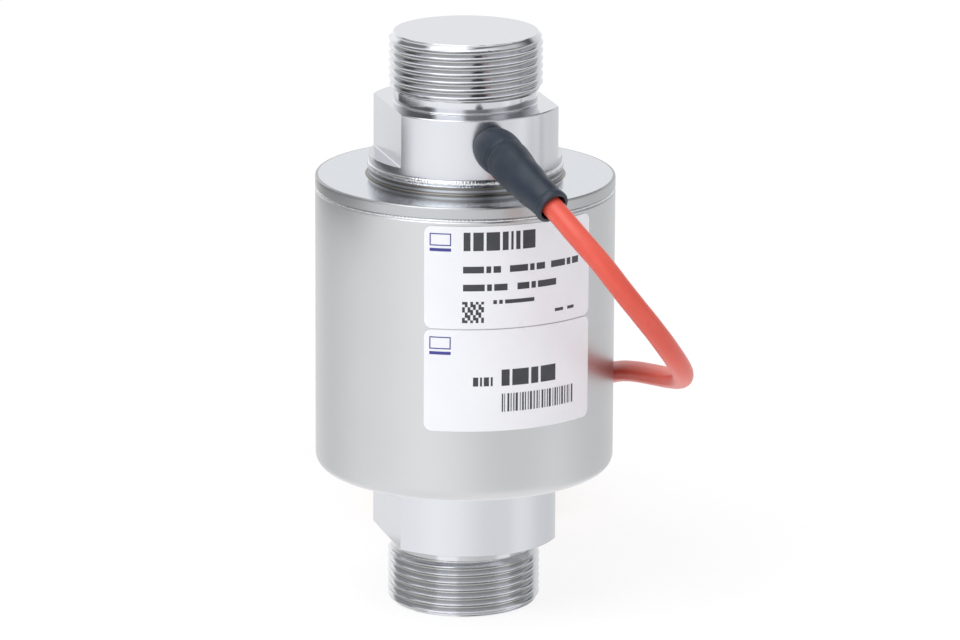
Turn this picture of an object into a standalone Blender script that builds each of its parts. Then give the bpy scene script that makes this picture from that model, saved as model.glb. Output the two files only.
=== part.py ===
"""A tension load cell at its real size.

One turned steel element carries the load: a threaded stud at each end, two
collars with wrench flats, and a square measuring column hidden between them.
A welded housing seals the column, its strain gauges and the trim board. The
cable leaves the upper collar through a gland and a rubber boot, hangs round
the housing and ends in a tied hank behind it.

Units are metres, +Z is up, and the origin is the centre of the lower stud's
end face. The cable leaves towards -Y and the wrench flats face +X and -X.
"""

import math

import bmesh
import bpy
import numpy as np
from mathutils import Matrix, Vector

MM = 0.001
FULL_TURN = 2 * math.pi
QUARTER_TURN = math.pi / 2

# Clearances
FIT_GAP = 0.3 * MM
BOND_GAP = 0.1 * MM
CUT_OVERSHOOT = 5.0 * MM

# Overall length and the two studs
TOTAL_HEIGHT = 149.0 * MM
STUD_LENGTH = 17.8 * MM
THREAD_DIAMETER = 39.0 * MM
THREAD_PITCH = 2.0 * MM
THREAD_FLANK_ANGLE = math.radians(30)
THREAD_RELIEF_DIAMETER = 36.4 * MM
THREAD_RELIEF_LENGTH = 3.0 * MM
STUD_END_CHAMFER = 1.3 * MM

# Collars with their wrench flats
COLLAR_DIAMETER = 49.0 * MM
COLLAR_HEIGHT = 15.55 * MM
COLLAR_EDGE_BREAK = 0.3 * MM
FLATS_WIDTH = 41.0 * MM
FLATS_LENGTH = 13.6 * MM

# Spigots that the housing closes on, and the measuring column
SPIGOT_DIAMETER = 46.0 * MM
SPIGOT_HEIGHT = 11.65 * MM
COLUMN_WIDTH = 28.0 * MM
COLUMN_CORNER_DIAMETER = 38.4 * MM

# Housing
HOUSING_DIAMETER = 76.1 * MM
HOUSING_WALL = 2.0 * MM
HOUSING_FLOOR = 2.5 * MM
HOUSING_CORNER_RADIUS = 3.5 * MM
COVER_THICKNESS = 3.2 * MM
COVER_EDGE_RADIUS = 1.0 * MM
REGISTER_DEPTH = 2.0 * MM
REGISTER_WALL = 2.0 * MM
LIP_WALL = 1.3 * MM
COVER_LIP_HEIGHT = 1.9 * MM
CUP_LIP_HEIGHT = 0.9 * MM
LEAST_BEND_RADIUS = 0.5 * MM

# Welds
SEAM_GROOVE = 0.95 * MM
SEAM_WELD_RADIUS = 0.35 * MM
NECK_WELD_HEIGHT = 1.05 * MM
NECK_WELD_BULGE = 0.35 * MM
NECK_WELD_EDGE = 0.35 * MM

# Cable outlet in the upper collar
GLAND_DIAMETER = 8.8 * MM
GLAND_POCKET_DEPTH = 5.0 * MM
GLAND_PROUD = 6.5 * MM
GLAND_COUNTERBORE_DEPTH = 6.0 * MM
GLAND_WALL = 0.65 * MM
SEAL_SLACK = 0.25 * MM
WIRE_BORE_DIAMETER = 5.0 * MM
WIRE_CHANNEL_DIAMETER = 4.4 * MM
WIRE_CHANNEL_Y = -17.3 * MM
SHEATH_SETBACK = 1.5 * MM
FERRULE_PROUD = 1.5 * MM
SEAL_LENGTH = 3.7 * MM

# Rubber boot: radii and lengths along its own axis
BOOT_BORE_RADIUS = 3.4 * MM
BOOT_WALL = 0.7 * MM
BOOT_CUFF_RADIUS = 5.4 * MM
BOOT_CUFF_LENGTH = 11.0 * MM
BOOT_SHOULDER_RADIUS = 5.85 * MM
BOOT_SHOULDER_LENGTH = 2.8 * MM
BOOT_END_RADIUS = 4.3 * MM
BOOT_LENGTH = 37.5 * MM
BOOT_RIM_RADIUS = 4.45 * MM
BOOT_RIM_LENGTH = 1.8 * MM
BOOT_TAPER_POWER = 1.5

# Cable and its hank
CABLE_DIAMETER = 5.4 * MM
CABLE_POINT_STEP = 2.0 * CABLE_DIAMETER
OUTLET_ROUTE = [
    (0.0, -27.0, 0.0),
    (0.1, -33.5, -0.2),
    (0.8, -43.5, -1.8),
    (2.5, -53.0, -4.4),
    (5.2, -60.7, -7.5),
]
CABLE_ROUTE = [
    (8.4, -67.0, 112.4),
    (13.4, -72.7, 105.9),
    (19.0, -75.4, 98.2),
    (25.9, -74.7, 89.5),
    (31.9, -70.6, 82.0),
    (37.7, -62.5, 74.7),
    (42.7, -47.3, 67.8),
    (43.8, -25.8, 62.6),
    (42.6, -7.4, 59.0),
    (41.6, 5.0, 55.6),
    (39.3, 21.0, 48.7),
    (37.8, 36.0, 41.0),
    (37.2, 50.0, 34.6),
]
HANK_CENTRE = (25.4 * MM, 111.3 * MM)
HANK_HEADING = math.radians(4.4)
FOLD_SPACING = 58.0 * MM
FOLD_RADIUS = 3.0 * CABLE_DIAMETER
WAIST_HALF_GAP = 0.2 * MM
HANK_LAYERS = 5
HANK_BOTTOM = 1.8 * MM
STUB_RADIUS = 2.5 * MM
LEAD_STUB_LENGTH = 17.0 * MM
TAIL_STUB_LENGTH = 20.0 * MM
TIE_WIDTH = 4.8 * MM
TIE_THICKNESS = 1.2 * MM
TIE_HEAD = (7.0 * MM, 5.6 * MM, 4.2 * MM)
CORE_RADIUS = 0.65 * MM
CORE_LENGTH = 9.0 * MM
CORE_END_RADIUS = 0.4 * MM
CORE_END_LENGTH = 5.0 * MM
CORE_SPACING = 1.9 * MM

# Measuring parts inside the housing
GAUGE_SIZE = (9.0 * MM, 12.0 * MM, 0.25 * MM)
TERMINAL_SIZE = (7.0 * MM, 3.5 * MM, 1.2 * MM)
TERMINAL_DROP = 8.0 * MM
BOARD_THICKNESS = 1.6 * MM
BOARD_CORNER_CLEARANCE = 1.2 * MM
BOARD_EDGE_CLEARANCE = 5.05 * MM
RESISTOR_SIZE = (6.3 * MM, 2.5 * MM, 1.5 * MM)
RESISTOR_COUNT = 3
RESISTOR_BEARING = math.radians(45)
GAUGE_WIRE_RADIUS = 0.5 * MM
GAUGE_WIRE_LAP = 3.0 * MM
BUNDLE_RADIUS = 1.6 * MM
BUNDLE_BEND = 2.0 * MM

# Identification labels on the housing
LABEL_DROP = 1.1 * MM
LABEL_HEIGHT = 26.2 * MM
LABEL_SPLIT = 0.3 * MM
LABEL_THICKNESS = 0.15 * MM
LABEL_CORNER_RADIUS = 2.0 * MM
LABEL_START = math.radians(-31.2)
LABEL_END = math.radians(38.2)

# How finely round shapes are cut into faces
TURNED_SEGMENTS = 40
HOUSING_SEGMENTS = 64
SMALL_SEGMENTS = 24
TINY_SEGMENTS = 10
CORNER_STEPS = 4
SHARP_ANGLE = math.radians(35)
MERGE_DISTANCE = 0.002 * MM
DIRECTION_STEP = 0.2 * MM

# Places that follow from the sizes above
COLLAR_TOP = TOTAL_HEIGHT - STUD_LENGTH
COLLAR_FOOT = COLLAR_TOP - COLLAR_HEIGHT
SPIGOT_FOOT = COLLAR_FOOT - SPIGOT_HEIGHT
LOWER_COLLAR_HEAD = STUD_LENGTH + COLLAR_HEIGHT
LOWER_SPIGOT_HEAD = LOWER_COLLAR_HEAD + SPIGOT_HEIGHT
COLUMN_MIDDLE = (SPIGOT_FOOT + LOWER_SPIGOT_HEAD) / 2
OUTLET_HEIGHT = COLLAR_TOP - FLATS_LENGTH / 2
LIP_TOP = COLLAR_FOOT - NECK_WELD_HEIGHT - 2 * FIT_GAP
COVER_TOP = LIP_TOP - COVER_LIP_HEIGHT
COVER_BOTTOM = COVER_TOP - COVER_THICKNESS
SHELL_TOP = COVER_BOTTOM - FIT_GAP
LOWER_LIP_BOTTOM = LOWER_COLLAR_HEAD + NECK_WELD_HEIGHT + 2 * FIT_GAP
HOUSING_BOTTOM = LOWER_LIP_BOTTOM + CUP_LIP_HEIGHT
HOUSING_BORE_RADIUS = HOUSING_DIAMETER / 2 - HOUSING_WALL
LIP_BORE_RADIUS = SPIGOT_DIAMETER / 2 + FIT_GAP
LIP_RADIUS = LIP_BORE_RADIUS + LIP_WALL
BOARD_TOP = SPIGOT_FOOT - FIT_GAP
BOARD_BOTTOM = BOARD_TOP - BOARD_THICKNESS
BOARD_BORE_RADIUS = COLUMN_CORNER_DIAMETER / 2 + BOARD_CORNER_CLEARANCE
GLAND_INNER_Y = -COLLAR_DIAMETER / 2 + GLAND_POCKET_DEPTH
GLAND_OUTER_Y = -COLLAR_DIAMETER / 2 - GLAND_PROUD
GLAND_COUNTERBORE_Y = GLAND_OUTER_Y + GLAND_COUNTERBORE_DEPTH
FERRULE_OUTER_Y = GLAND_OUTER_Y - FERRULE_PROUD
CABLE_START_Y = GLAND_INNER_Y - SHEATH_SETBACK
LABEL_TOP = SHELL_TOP - LABEL_DROP
THREAD_DEPTH = 0.6134 * THREAD_PITCH
CABLE_RADIUS = CABLE_DIAMETER / 2


def clear_scene():
    """Remove whatever the opened file already holds."""
    for item in list(bpy.data.objects):
        bpy.data.objects.remove(item, do_unlink=True)


def finish(name, colour, roughness, metallic=0.0):
    """A Principled material with a linear colour."""
    made = bpy.data.materials.new(name)
    made.use_nodes = True
    shader = made.node_tree.nodes["Principled BSDF"]
    shader.inputs["Base Color"].default_value = (*colour, 1.0)
    shader.inputs["Roughness"].default_value = roughness
    shader.inputs["Metallic"].default_value = metallic
    return made


def place_mesh(name, shape, look):
    """Turn an edit mesh into a named, smooth shaded object."""
    bmesh.ops.recalc_face_normals(shape, faces=shape.faces[:])
    mesh = bpy.data.meshes.new(name)
    shape.to_mesh(mesh)
    shape.free()
    mesh.shade_smooth()
    mesh.set_sharp_from_angle(angle=SHARP_ANGLE)
    mesh.materials.append(look)
    made = bpy.data.objects.new(name, mesh)
    bpy.context.scene.collection.objects.link(made)
    return made


def make_cutter(name, shape):
    """A hidden object that only cuts others."""
    cutter = place_mesh(name, shape, FINISHES["steel"])
    cutter.hide_render = True
    cutter.display_type = "WIRE"
    return cutter


def combine(target, other, operation):
    """Cut or join with an exact Boolean."""
    step = target.modifiers.new(f"{operation}_{other.name}", "BOOLEAN")
    step.operation = operation
    step.solver = "EXACT"
    step.object = other


def add_turned(shape, outline, segments, closed):
    """Spin an outline of (radius, height) pairs about the Z axis."""
    points = [shape.verts.new((radius, 0.0, height)) for radius, height in outline]
    edges = [shape.edges.new(pair) for pair in zip(points, points[1:])]
    if closed:
        edges.append(shape.edges.new((points[-1], points[0])))
    bmesh.ops.spin(
        shape,
        geom=points + edges,
        cent=(0, 0, 0),
        axis=(0, 0, 1),
        angle=FULL_TURN,
        steps=segments,
    )
    bmesh.ops.remove_doubles(shape, verts=shape.verts[:], dist=MERGE_DISTANCE)


def turned(name, outline, segments, look, closed=True):
    """A turned piece: a ring if its outline is closed, else a solid of revolution."""
    shape = bmesh.new()
    add_turned(shape, outline, segments, closed)
    return place_mesh(name, shape, look)


def add_box(shape, low, high):
    """A box between two corners."""
    size = [b - a for a, b in zip(low, high)]
    middle = [(a + b) / 2 for a, b in zip(low, high)]
    place = Matrix.Translation(middle) @ Matrix.Diagonal((*size, 1.0))
    bmesh.ops.create_cube(shape, size=1.0, matrix=place)


def add_cylinder(shape, start, end, radius, segments):
    """A capped cylinder between two points."""
    start = Vector(start)
    end = Vector(end)
    along = end - start
    turn = along.to_track_quat("Z", "Y").to_matrix().to_4x4()
    bmesh.ops.create_cone(
        shape,
        cap_ends=True,
        segments=segments,
        radius1=radius,
        radius2=radius,
        depth=along.length,
        matrix=Matrix.Translation((start + end) / 2) @ turn,
    )


def arc(centre, radius, start, end, steps):
    """Points of a circular arc, both ends included."""
    angles = np.linspace(start, end, steps + 1)
    return [(centre[0] + radius * math.cos(a), centre[1] + radius * math.sin(a)) for a in angles]


def along_y(piece, y, z):
    """Lay a turned piece on the outlet's axis, so that its own +Z points to -Y."""
    piece.rotation_euler = (QUARTER_TURN, 0.0, 0.0)
    piece.location = (0.0, y, z)


def smooth_line(points, start_direction, end_direction):
    """A cubic spline through points, as a function of the chord length."""
    places = np.array(points, float)
    chords = np.linalg.norm(np.diff(places, axis=0), axis=1)
    knots = np.concatenate([[0.0], np.cumsum(chords)])
    count = len(places)
    system = np.zeros((count, count))
    wanted = np.zeros((count, 3))
    system[0, 0] = 1.0
    system[-1, -1] = 1.0
    wanted[0] = start_direction
    wanted[-1] = end_direction
    for i in range(1, count - 1):
        before = chords[i - 1]
        after = chords[i]
        system[i, i - 1] = after
        system[i, i] = 2 * (before + after)
        system[i, i + 1] = before
        into = (places[i] - places[i - 1]) / before
        out = (places[i + 1] - places[i]) / after
        wanted[i] = 3 * (after * into + before * out)
    slopes = np.linalg.solve(system, wanted)

    def at(distance):
        i = int(np.clip(np.searchsorted(knots, distance) - 1, 0, count - 2))
        step = chords[i]
        t = (distance - knots[i]) / step
        return (
            (2 * t**3 - 3 * t**2 + 1) * places[i]
            + (t**3 - 2 * t**2 + t) * step * slopes[i]
            + (3 * t**2 - 2 * t**3) * places[i + 1]
            + (t**3 - t**2) * step * slopes[i + 1]
        )

    return at, float(knots[-1])


def hank_point(u, v, z):
    """A point given across, along and above the hank, in world metres."""
    across = (math.cos(HANK_HEADING), -math.sin(HANK_HEADING))
    forward = (math.sin(HANK_HEADING), math.cos(HANK_HEADING))
    x = HANK_CENTRE[0] + u * across[0] + v * forward[0]
    y = HANK_CENTRE[1] + u * across[1] + v * forward[1]
    return (x, y, z)


def layer_height(number):
    """Height of the middle of a layer of turns, counted from 0."""
    return HANK_BOTTOM + CABLE_RADIUS + number * CABLE_DIAMETER


def cable_line():
    """The cable's route from the gland to where it enters the hank."""
    mouth = hank_point(
        FOLD_RADIUS,
        -FOLD_SPACING / 2 - LEAD_STUB_LENGTH - FIT_GAP,
        layer_height(HANK_LAYERS),
    )
    start = (0.0, CABLE_START_Y, OUTLET_HEIGHT)
    near = [(x * MM, y * MM, OUTLET_HEIGHT + z * MM) for x, y, z in OUTLET_ROUTE]
    far = [(x * MM, y * MM, z * MM) for x, y, z in CABLE_ROUTE]
    into_hank = (math.sin(HANK_HEADING), math.cos(HANK_HEADING), 0.0)
    return smooth_line([start, *near, *far, mouth], (0.0, -1.0, 0.0), into_hank)


def thread_radius(height):
    """Radius of the bare thread form at a height, at the start of its helix."""
    crest = THREAD_PITCH / 8
    flank = THREAD_DEPTH * math.tan(THREAD_FLANK_ANGLE)
    top = THREAD_DIAMETER / 2
    root = top - THREAD_DEPTH
    places = (0.0, crest, crest + flank, THREAD_PITCH - flank, THREAD_PITCH)
    return float(np.interp(height % THREAD_PITCH, places, (top, top, root, root, top)))


def blank_radius(distance):
    """Radius of the unthreaded stud at a distance from its end face."""
    top = THREAD_DIAMETER / 2
    relief = THREAD_RELIEF_DIAMETER / 2
    relief_start = STUD_LENGTH - THREAD_RELIEF_LENGTH
    places = (0.0, STUD_END_CHAMFER, relief_start - (top - relief), relief_start)
    return float(np.interp(distance, places, (top - STUD_END_CHAMFER, top, top, relief)))


def stud_rows(end_face, low, high, share):
    """One column of a threaded stud: its points where a share of a turn is done.

    The right-handed thread rises by one pitch a turn, so the corners of its form
    stand higher by that share of a pitch. Corners past either limit stay on it.
    """
    crest = THREAD_PITCH / 8
    flank = THREAD_DEPTH * math.tan(THREAD_FLANK_ANGLE)
    corners = (0.0, crest, crest + flank, THREAD_PITCH - flank)
    rise = share * THREAD_PITCH
    rows = []
    for turn in range(math.ceil((high - low) / THREAD_PITCH) + 2):
        for corner in corners:
            height = low + (turn - 1) * THREAD_PITCH + corner + rise
            height = min(max(height, low), high)
            cut_radius = thread_radius(height - low - rise)
            rows.append((min(blank_radius(abs(height - end_face)), cut_radius), height))
    return rows


def shoulder_points():
    """The plain turned outline of one end, from the thread relief to the column."""
    relief = THREAD_RELIEF_DIAMETER / 2
    collar = COLLAR_DIAMETER / 2
    spigot = SPIGOT_DIAMETER / 2
    return [
        (relief, STUD_LENGTH),
        (collar - COLLAR_EDGE_BREAK, STUD_LENGTH),
        (collar, STUD_LENGTH + COLLAR_EDGE_BREAK),
        (collar, LOWER_COLLAR_HEAD),
        (spigot, LOWER_COLLAR_HEAD),
        (spigot, LOWER_SPIGOT_HEAD),
        (COLUMN_CORNER_DIAMETER / 2, LOWER_SPIGOT_HEAD),
    ]


def element_column(share):
    """The whole element's outline where a share of a turn is done."""
    thread_end = STUD_LENGTH - THREAD_RELIEF_LENGTH
    lower = shoulder_points()
    upper = [(radius, TOTAL_HEIGHT - height) for radius, height in reversed(lower)]
    return [
        (0.0, 0.0),
        *stud_rows(0.0, 0.0, thread_end, share),
        *lower,
        *upper,
        *stud_rows(TOTAL_HEIGHT, TOTAL_HEIGHT - thread_end, TOTAL_HEIGHT, share),
        (0.0, TOTAL_HEIGHT),
    ]


def make_load_element():
    """Studs, collars and column, turned and milled from one bar."""
    shape = bmesh.new()
    columns = []
    for step in range(TURNED_SEGMENTS + 1):
        share = step / TURNED_SEGMENTS
        angle = FULL_TURN * share
        points = [
            (radius * math.cos(angle), radius * math.sin(angle), height)
            for radius, height in element_column(share)
        ]
        columns.append([shape.verts.new(point) for point in points])
    for left, right in zip(columns, columns[1:]):
        for row in range(len(left) - 1):
            shape.faces.new((left[row], right[row], right[row + 1], left[row + 1]))
    bmesh.ops.remove_doubles(shape, verts=shape.verts[:], dist=MERGE_DISTANCE)
    element = place_mesh("load_element", shape, FINISHES["steel"])
    reach = COLLAR_DIAMETER
    half_flats = FLATS_WIDTH / 2
    half_column = COLUMN_WIDTH / 2
    flats = bmesh.new()
    for low, high in (
        (STUD_LENGTH - CUT_OVERSHOOT / 2, STUD_LENGTH + FLATS_LENGTH),
        (COLLAR_TOP - FLATS_LENGTH, COLLAR_TOP + CUT_OVERSHOOT / 2),
    ):
        add_box(flats, (half_flats, -reach, low), (reach, reach, high))
        add_box(flats, (-reach, -reach, low), (-half_flats, reach, high))
    combine(element, make_cutter("wrench_flats_cutter", flats), "DIFFERENCE")
    for side in range(4):
        added = bmesh.new()
        add_box(added, (half_column, -reach, LOWER_SPIGOT_HEAD), (reach, reach, SPIGOT_FOOT))
        bmesh.ops.rotate(
            added,
            verts=added.verts[:],
            cent=(0, 0, 0),
            matrix=Matrix.Rotation(side * QUARTER_TURN, 3, "Z"),
        )
        cutter = make_cutter(f"column_side_cutter_{side + 1}", added)
        combine(element, cutter, "DIFFERENCE")
    pocket = bmesh.new()
    add_cylinder(
        pocket,
        (0.0, -COLLAR_DIAMETER / 2 - CUT_OVERSHOOT, OUTLET_HEIGHT),
        (0.0, GLAND_INNER_Y + FIT_GAP, OUTLET_HEIGHT),
        GLAND_DIAMETER / 2 + FIT_GAP,
        SMALL_SEGMENTS,
    )
    combine(element, make_cutter("gland_pocket_cutter", pocket), "DIFFERENCE")
    channel = bmesh.new()
    add_cylinder(
        channel,
        (0.0, GLAND_INNER_Y - CUT_OVERSHOOT / 2, OUTLET_HEIGHT),
        (0.0, WIRE_CHANNEL_Y + WIRE_BORE_DIAMETER / 2, OUTLET_HEIGHT),
        WIRE_BORE_DIAMETER / 2,
        SMALL_SEGMENTS,
    )
    combine(element, make_cutter("wire_bore_cutter", channel), "DIFFERENCE")
    drop = bmesh.new()
    add_cylinder(
        drop,
        (0.0, WIRE_CHANNEL_Y, SPIGOT_FOOT - CUT_OVERSHOOT),
        (0.0, WIRE_CHANNEL_Y, OUTLET_HEIGHT),
        WIRE_CHANNEL_DIAMETER / 2,
        SMALL_SEGMENTS,
    )
    combine(element, make_cutter("wire_drop_cutter", drop), "DIFFERENCE")


def make_housing():
    """The deep drawn cup, its cover plate and the weld that closes them."""
    outer = HOUSING_DIAMETER / 2
    inner = HOUSING_BORE_RADIUS
    corner = HOUSING_CORNER_RADIUS
    inner_corner = max(corner - HOUSING_WALL, LEAST_BEND_RADIUS)
    floor_top = HOUSING_BOTTOM + HOUSING_FLOOR
    bend = arc((outer - corner, HOUSING_BOTTOM + corner), corner, -QUARTER_TURN, 0, CORNER_STEPS)
    inner_bend = arc(
        (inner - inner_corner, floor_top + inner_corner), inner_corner, 0, -QUARTER_TURN, 2
    )
    cup = [
        (LIP_BORE_RADIUS, LOWER_LIP_BOTTOM),
        (LIP_RADIUS, LOWER_LIP_BOTTOM),
        (LIP_RADIUS, HOUSING_BOTTOM),
        *bend,
        (outer, SHELL_TOP - SEAM_GROOVE),
        (outer - SEAM_GROOVE, SHELL_TOP),
        (inner, SHELL_TOP),
        *inner_bend,
        (LIP_BORE_RADIUS, floor_top),
    ]
    turned("housing_cup", cup, HOUSING_SEGMENTS, FINISHES["satin"])
    edge = COVER_EDGE_RADIUS
    rim = arc((outer - edge, COVER_TOP - edge), edge, 0, QUARTER_TURN, CORNER_STEPS)
    register = inner - FIT_GAP
    cover = [
        (LIP_BORE_RADIUS, COVER_BOTTOM),
        (register - REGISTER_WALL, COVER_BOTTOM),
        (register - REGISTER_WALL, COVER_BOTTOM - REGISTER_DEPTH),
        (register, COVER_BOTTOM - REGISTER_DEPTH),
        (register, COVER_BOTTOM),
        (outer - SEAM_GROOVE, COVER_BOTTOM),
        (outer, COVER_BOTTOM + SEAM_GROOVE),
        *rim,
        (LIP_RADIUS, COVER_TOP),
        (LIP_RADIUS, LIP_TOP),
        (LIP_BORE_RADIUS, LIP_TOP),
    ]
    turned("cover_plate", cover, HOUSING_SEGMENTS, FINISHES["polished"])
    seam_height = (COVER_BOTTOM + SHELL_TOP) / 2
    seam = arc((outer - SEAM_WELD_RADIUS, seam_height), SEAM_WELD_RADIUS, 0, FULL_TURN, 6)
    turned("rim_weld", seam[:-1], HOUSING_SEGMENTS, FINISHES["weld"])


def neck_weld_outline(low, high):
    """A fillet weld between a collar and the lip of a housing part."""
    outside = LIP_RADIUS
    inside = LIP_BORE_RADIUS
    edge = min(NECK_WELD_EDGE, (high - low) / 3)
    return [
        (inside, low),
        (outside, low),
        (outside + NECK_WELD_BULGE, low + edge),
        (outside + NECK_WELD_BULGE, high - edge),
        (outside, high),
        (inside, high),
    ]


def make_neck_welds():
    """The two ring welds between the collars and the housing."""
    upper = neck_weld_outline(LIP_TOP + FIT_GAP, COLLAR_FOOT - FIT_GAP)
    turned("upper_neck_weld", upper, HOUSING_SEGMENTS, FINISHES["weld"])
    lower = neck_weld_outline(LOWER_COLLAR_HEAD + FIT_GAP, LOWER_LIP_BOTTOM - FIT_GAP)
    turned("lower_neck_weld", lower, HOUSING_SEGMENTS, FINISHES["weld"])


def make_gland():
    """Gland body, its rubber seal and the ferrule that presses the seal."""
    body_radius = GLAND_DIAMETER / 2
    wide_bore = body_radius - GLAND_WALL
    seal_outside = wide_bore - SEAL_SLACK
    cable_bore = CABLE_RADIUS + FIT_GAP
    length = GLAND_INNER_Y - GLAND_OUTER_Y
    step = GLAND_INNER_Y - GLAND_COUNTERBORE_Y
    body = turned(
        "gland_body",
        [
            (cable_bore, 0.0),
            (body_radius, 0.0),
            (body_radius, length),
            (wide_bore, length),
            (wide_bore, step),
            (cable_bore, step),
        ],
        SMALL_SEGMENTS,
        FINISHES["steel"],
    )
    along_y(body, GLAND_INNER_Y, OUTLET_HEIGHT)
    seal = turned(
        "gland_seal",
        [
            (cable_bore, 0.0),
            (seal_outside, 0.0),
            (seal_outside, SEAL_LENGTH),
            (cable_bore, SEAL_LENGTH),
        ],
        SMALL_SEGMENTS,
        FINISHES["rubber"],
    )
    along_y(seal, GLAND_COUNTERBORE_Y - FIT_GAP, OUTLET_HEIGHT)
    ferrule_start = GLAND_COUNTERBORE_Y - SEAL_LENGTH - 2 * FIT_GAP
    ferrule_length = ferrule_start - FERRULE_OUTER_Y
    flange = ferrule_start - GLAND_OUTER_Y + FIT_GAP
    ferrule = turned(
        "gland_ferrule",
        [
            (cable_bore, 0.0),
            (seal_outside, 0.0),
            (seal_outside, flange),
            (body_radius, flange),
            (body_radius, ferrule_length),
            (cable_bore, ferrule_length),
        ],
        SMALL_SEGMENTS,
        FINISHES["steel"],
    )
    along_y(ferrule, ferrule_start, OUTLET_HEIGHT)


def make_boot():
    """The bend relief: a rubber sleeve that follows the cable's own line."""
    line, _ = cable_line()
    base = -COLLAR_DIAMETER / 2 - FIT_GAP
    start = CABLE_START_Y - base
    wide = GLAND_DIAMETER / 2 + FIT_GAP
    gland_depth = base - FERRULE_OUTER_Y + FIT_GAP
    shoulder = BOOT_CUFF_LENGTH + BOOT_SHOULDER_LENGTH
    tip = BOOT_LENGTH - BOOT_RIM_LENGTH
    taper = [
        (
            shoulder + (tip - shoulder) * share,
            BOOT_SHOULDER_RADIUS - (BOOT_SHOULDER_RADIUS - BOOT_END_RADIUS) * share**BOOT_TAPER_POWER,
        )
        for share in (0.0, 0.25, 0.5, 0.75, 1.0)
    ]
    outside = [
        (0.0, BOOT_CUFF_RADIUS),
        (BOOT_CUFF_LENGTH / 2, BOOT_CUFF_RADIUS),
        (BOOT_CUFF_LENGTH, BOOT_CUFF_RADIUS),
        *taper,
        (tip + BOOT_RIM_LENGTH / 3, BOOT_RIM_RADIUS),
        (BOOT_LENGTH, BOOT_RIM_RADIUS),
    ]
    bore = np.linspace(BOOT_LENGTH, gland_depth + BOOT_WALL, 6)
    inside = [
        *((place, BOOT_BORE_RADIUS) for place in bore),
        (gland_depth, wide),
        (0.0, wide),
    ]
    shape = bmesh.new()
    rings = []
    for distance, radius in outside + inside:
        place = start + distance
        centre = Vector(line(place))
        before = line(place - DIRECTION_STEP)
        tangent = Vector(line(place + DIRECTION_STEP) - before).normalized()
        side = tangent.cross(Vector((0, 0, 1))).normalized()
        up = side.cross(tangent)
        ring = []
        for k in range(SMALL_SEGMENTS):
            angle = FULL_TURN * k / SMALL_SEGMENTS
            spot = centre + radius * (math.cos(angle) * side + math.sin(angle) * up)
            ring.append(shape.verts.new(spot))
        rings.append(ring)
    for low, high in zip(rings, rings[1:] + rings[:1]):
        for k in range(SMALL_SEGMENTS):
            n = (k + 1) % SMALL_SEGMENTS
            shape.faces.new((low[k], low[n], high[n], high[k]))
    place_mesh("cable_boot", shape, FINISHES["rubber"])


def make_tube(name, points, radius, look, resolution):
    """A round cord through points, with closed ends."""
    data = bpy.data.curves.new(name, "CURVE")
    data.dimensions = "3D"
    data.bevel_depth = radius
    data.bevel_resolution = resolution
    data.use_fill_caps = True
    spline = data.splines.new("POLY")
    spline.points.add(len(points) - 1)
    for target, point in zip(spline.points, points):
        target.co = (*point, 1.0)
    data.materials.append(look)
    made = bpy.data.objects.new(name, data)
    bpy.context.scene.collection.objects.link(made)
    return made


def make_cable():
    """The stretch of cable between the gland and the hank."""
    line, total = cable_line()
    count = round(total / CABLE_POINT_STEP)
    places = np.append(np.linspace(0.0, total - CABLE_RADIUS, count + 1), total)
    points = [line(place) for place in places]
    make_tube("cable", points, CABLE_RADIUS, FINISHES["cable"], 3)


def hank_half_outline(offset):
    """Right half of the waisted outline, grown by an offset, near end to far end."""
    half = FOLD_SPACING / 2
    waist = WAIST_HALF_GAP + CABLE_RADIUS
    spread = FOLD_RADIUS - waist
    neck_radius = (half**2 / spread - FOLD_RADIUS - waist) / 2
    lean = math.atan2(half, waist + neck_radius)
    near = arc((0.0, -half), FOLD_RADIUS + offset, -QUARTER_TURN, lean, 8)
    neck = arc(
        (waist + neck_radius, 0.0), neck_radius - offset, math.pi + lean, math.pi - lean, 6
    )
    far = arc((0.0, half), FOLD_RADIUS + offset, -lean, QUARTER_TURN, 8)
    return near + neck[1:-1] + far


def waist_reach(offset):
    """How far sideways a waisted outline reaches anywhere under the tie."""
    across, along = zip(*hank_half_outline(offset))
    return float(np.interp(TIE_WIDTH / 2, along, across))


def add_waisted_stack(shape, levels):
    """A solid of waisted outlines stacked at (offset, height) levels."""
    rings = []
    for offset, height in levels:
        half = hank_half_outline(offset)
        mirrored = [(-u, v) for u, v in reversed(half[1:-1])]
        rings.append([shape.verts.new((u, v, height)) for u, v in half + mirrored])
    size = len(rings[0])
    for low, high in zip(rings, rings[1:]):
        for k in range(size):
            n = (k + 1) % size
            shape.faces.new((low[k], low[n], high[n], high[k]))
    for ring in (rings[0], rings[-1]):
        middle = size // 2
        right = ring[: middle + 1]
        left = [ring[0]] + ring[:middle - 1:-1]
        for i in range(middle):
            corners = [right[i], right[i + 1], left[i + 1], left[i]]
            shape.faces.new([c for n, c in enumerate(corners) if c not in corners[:n]])


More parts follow.
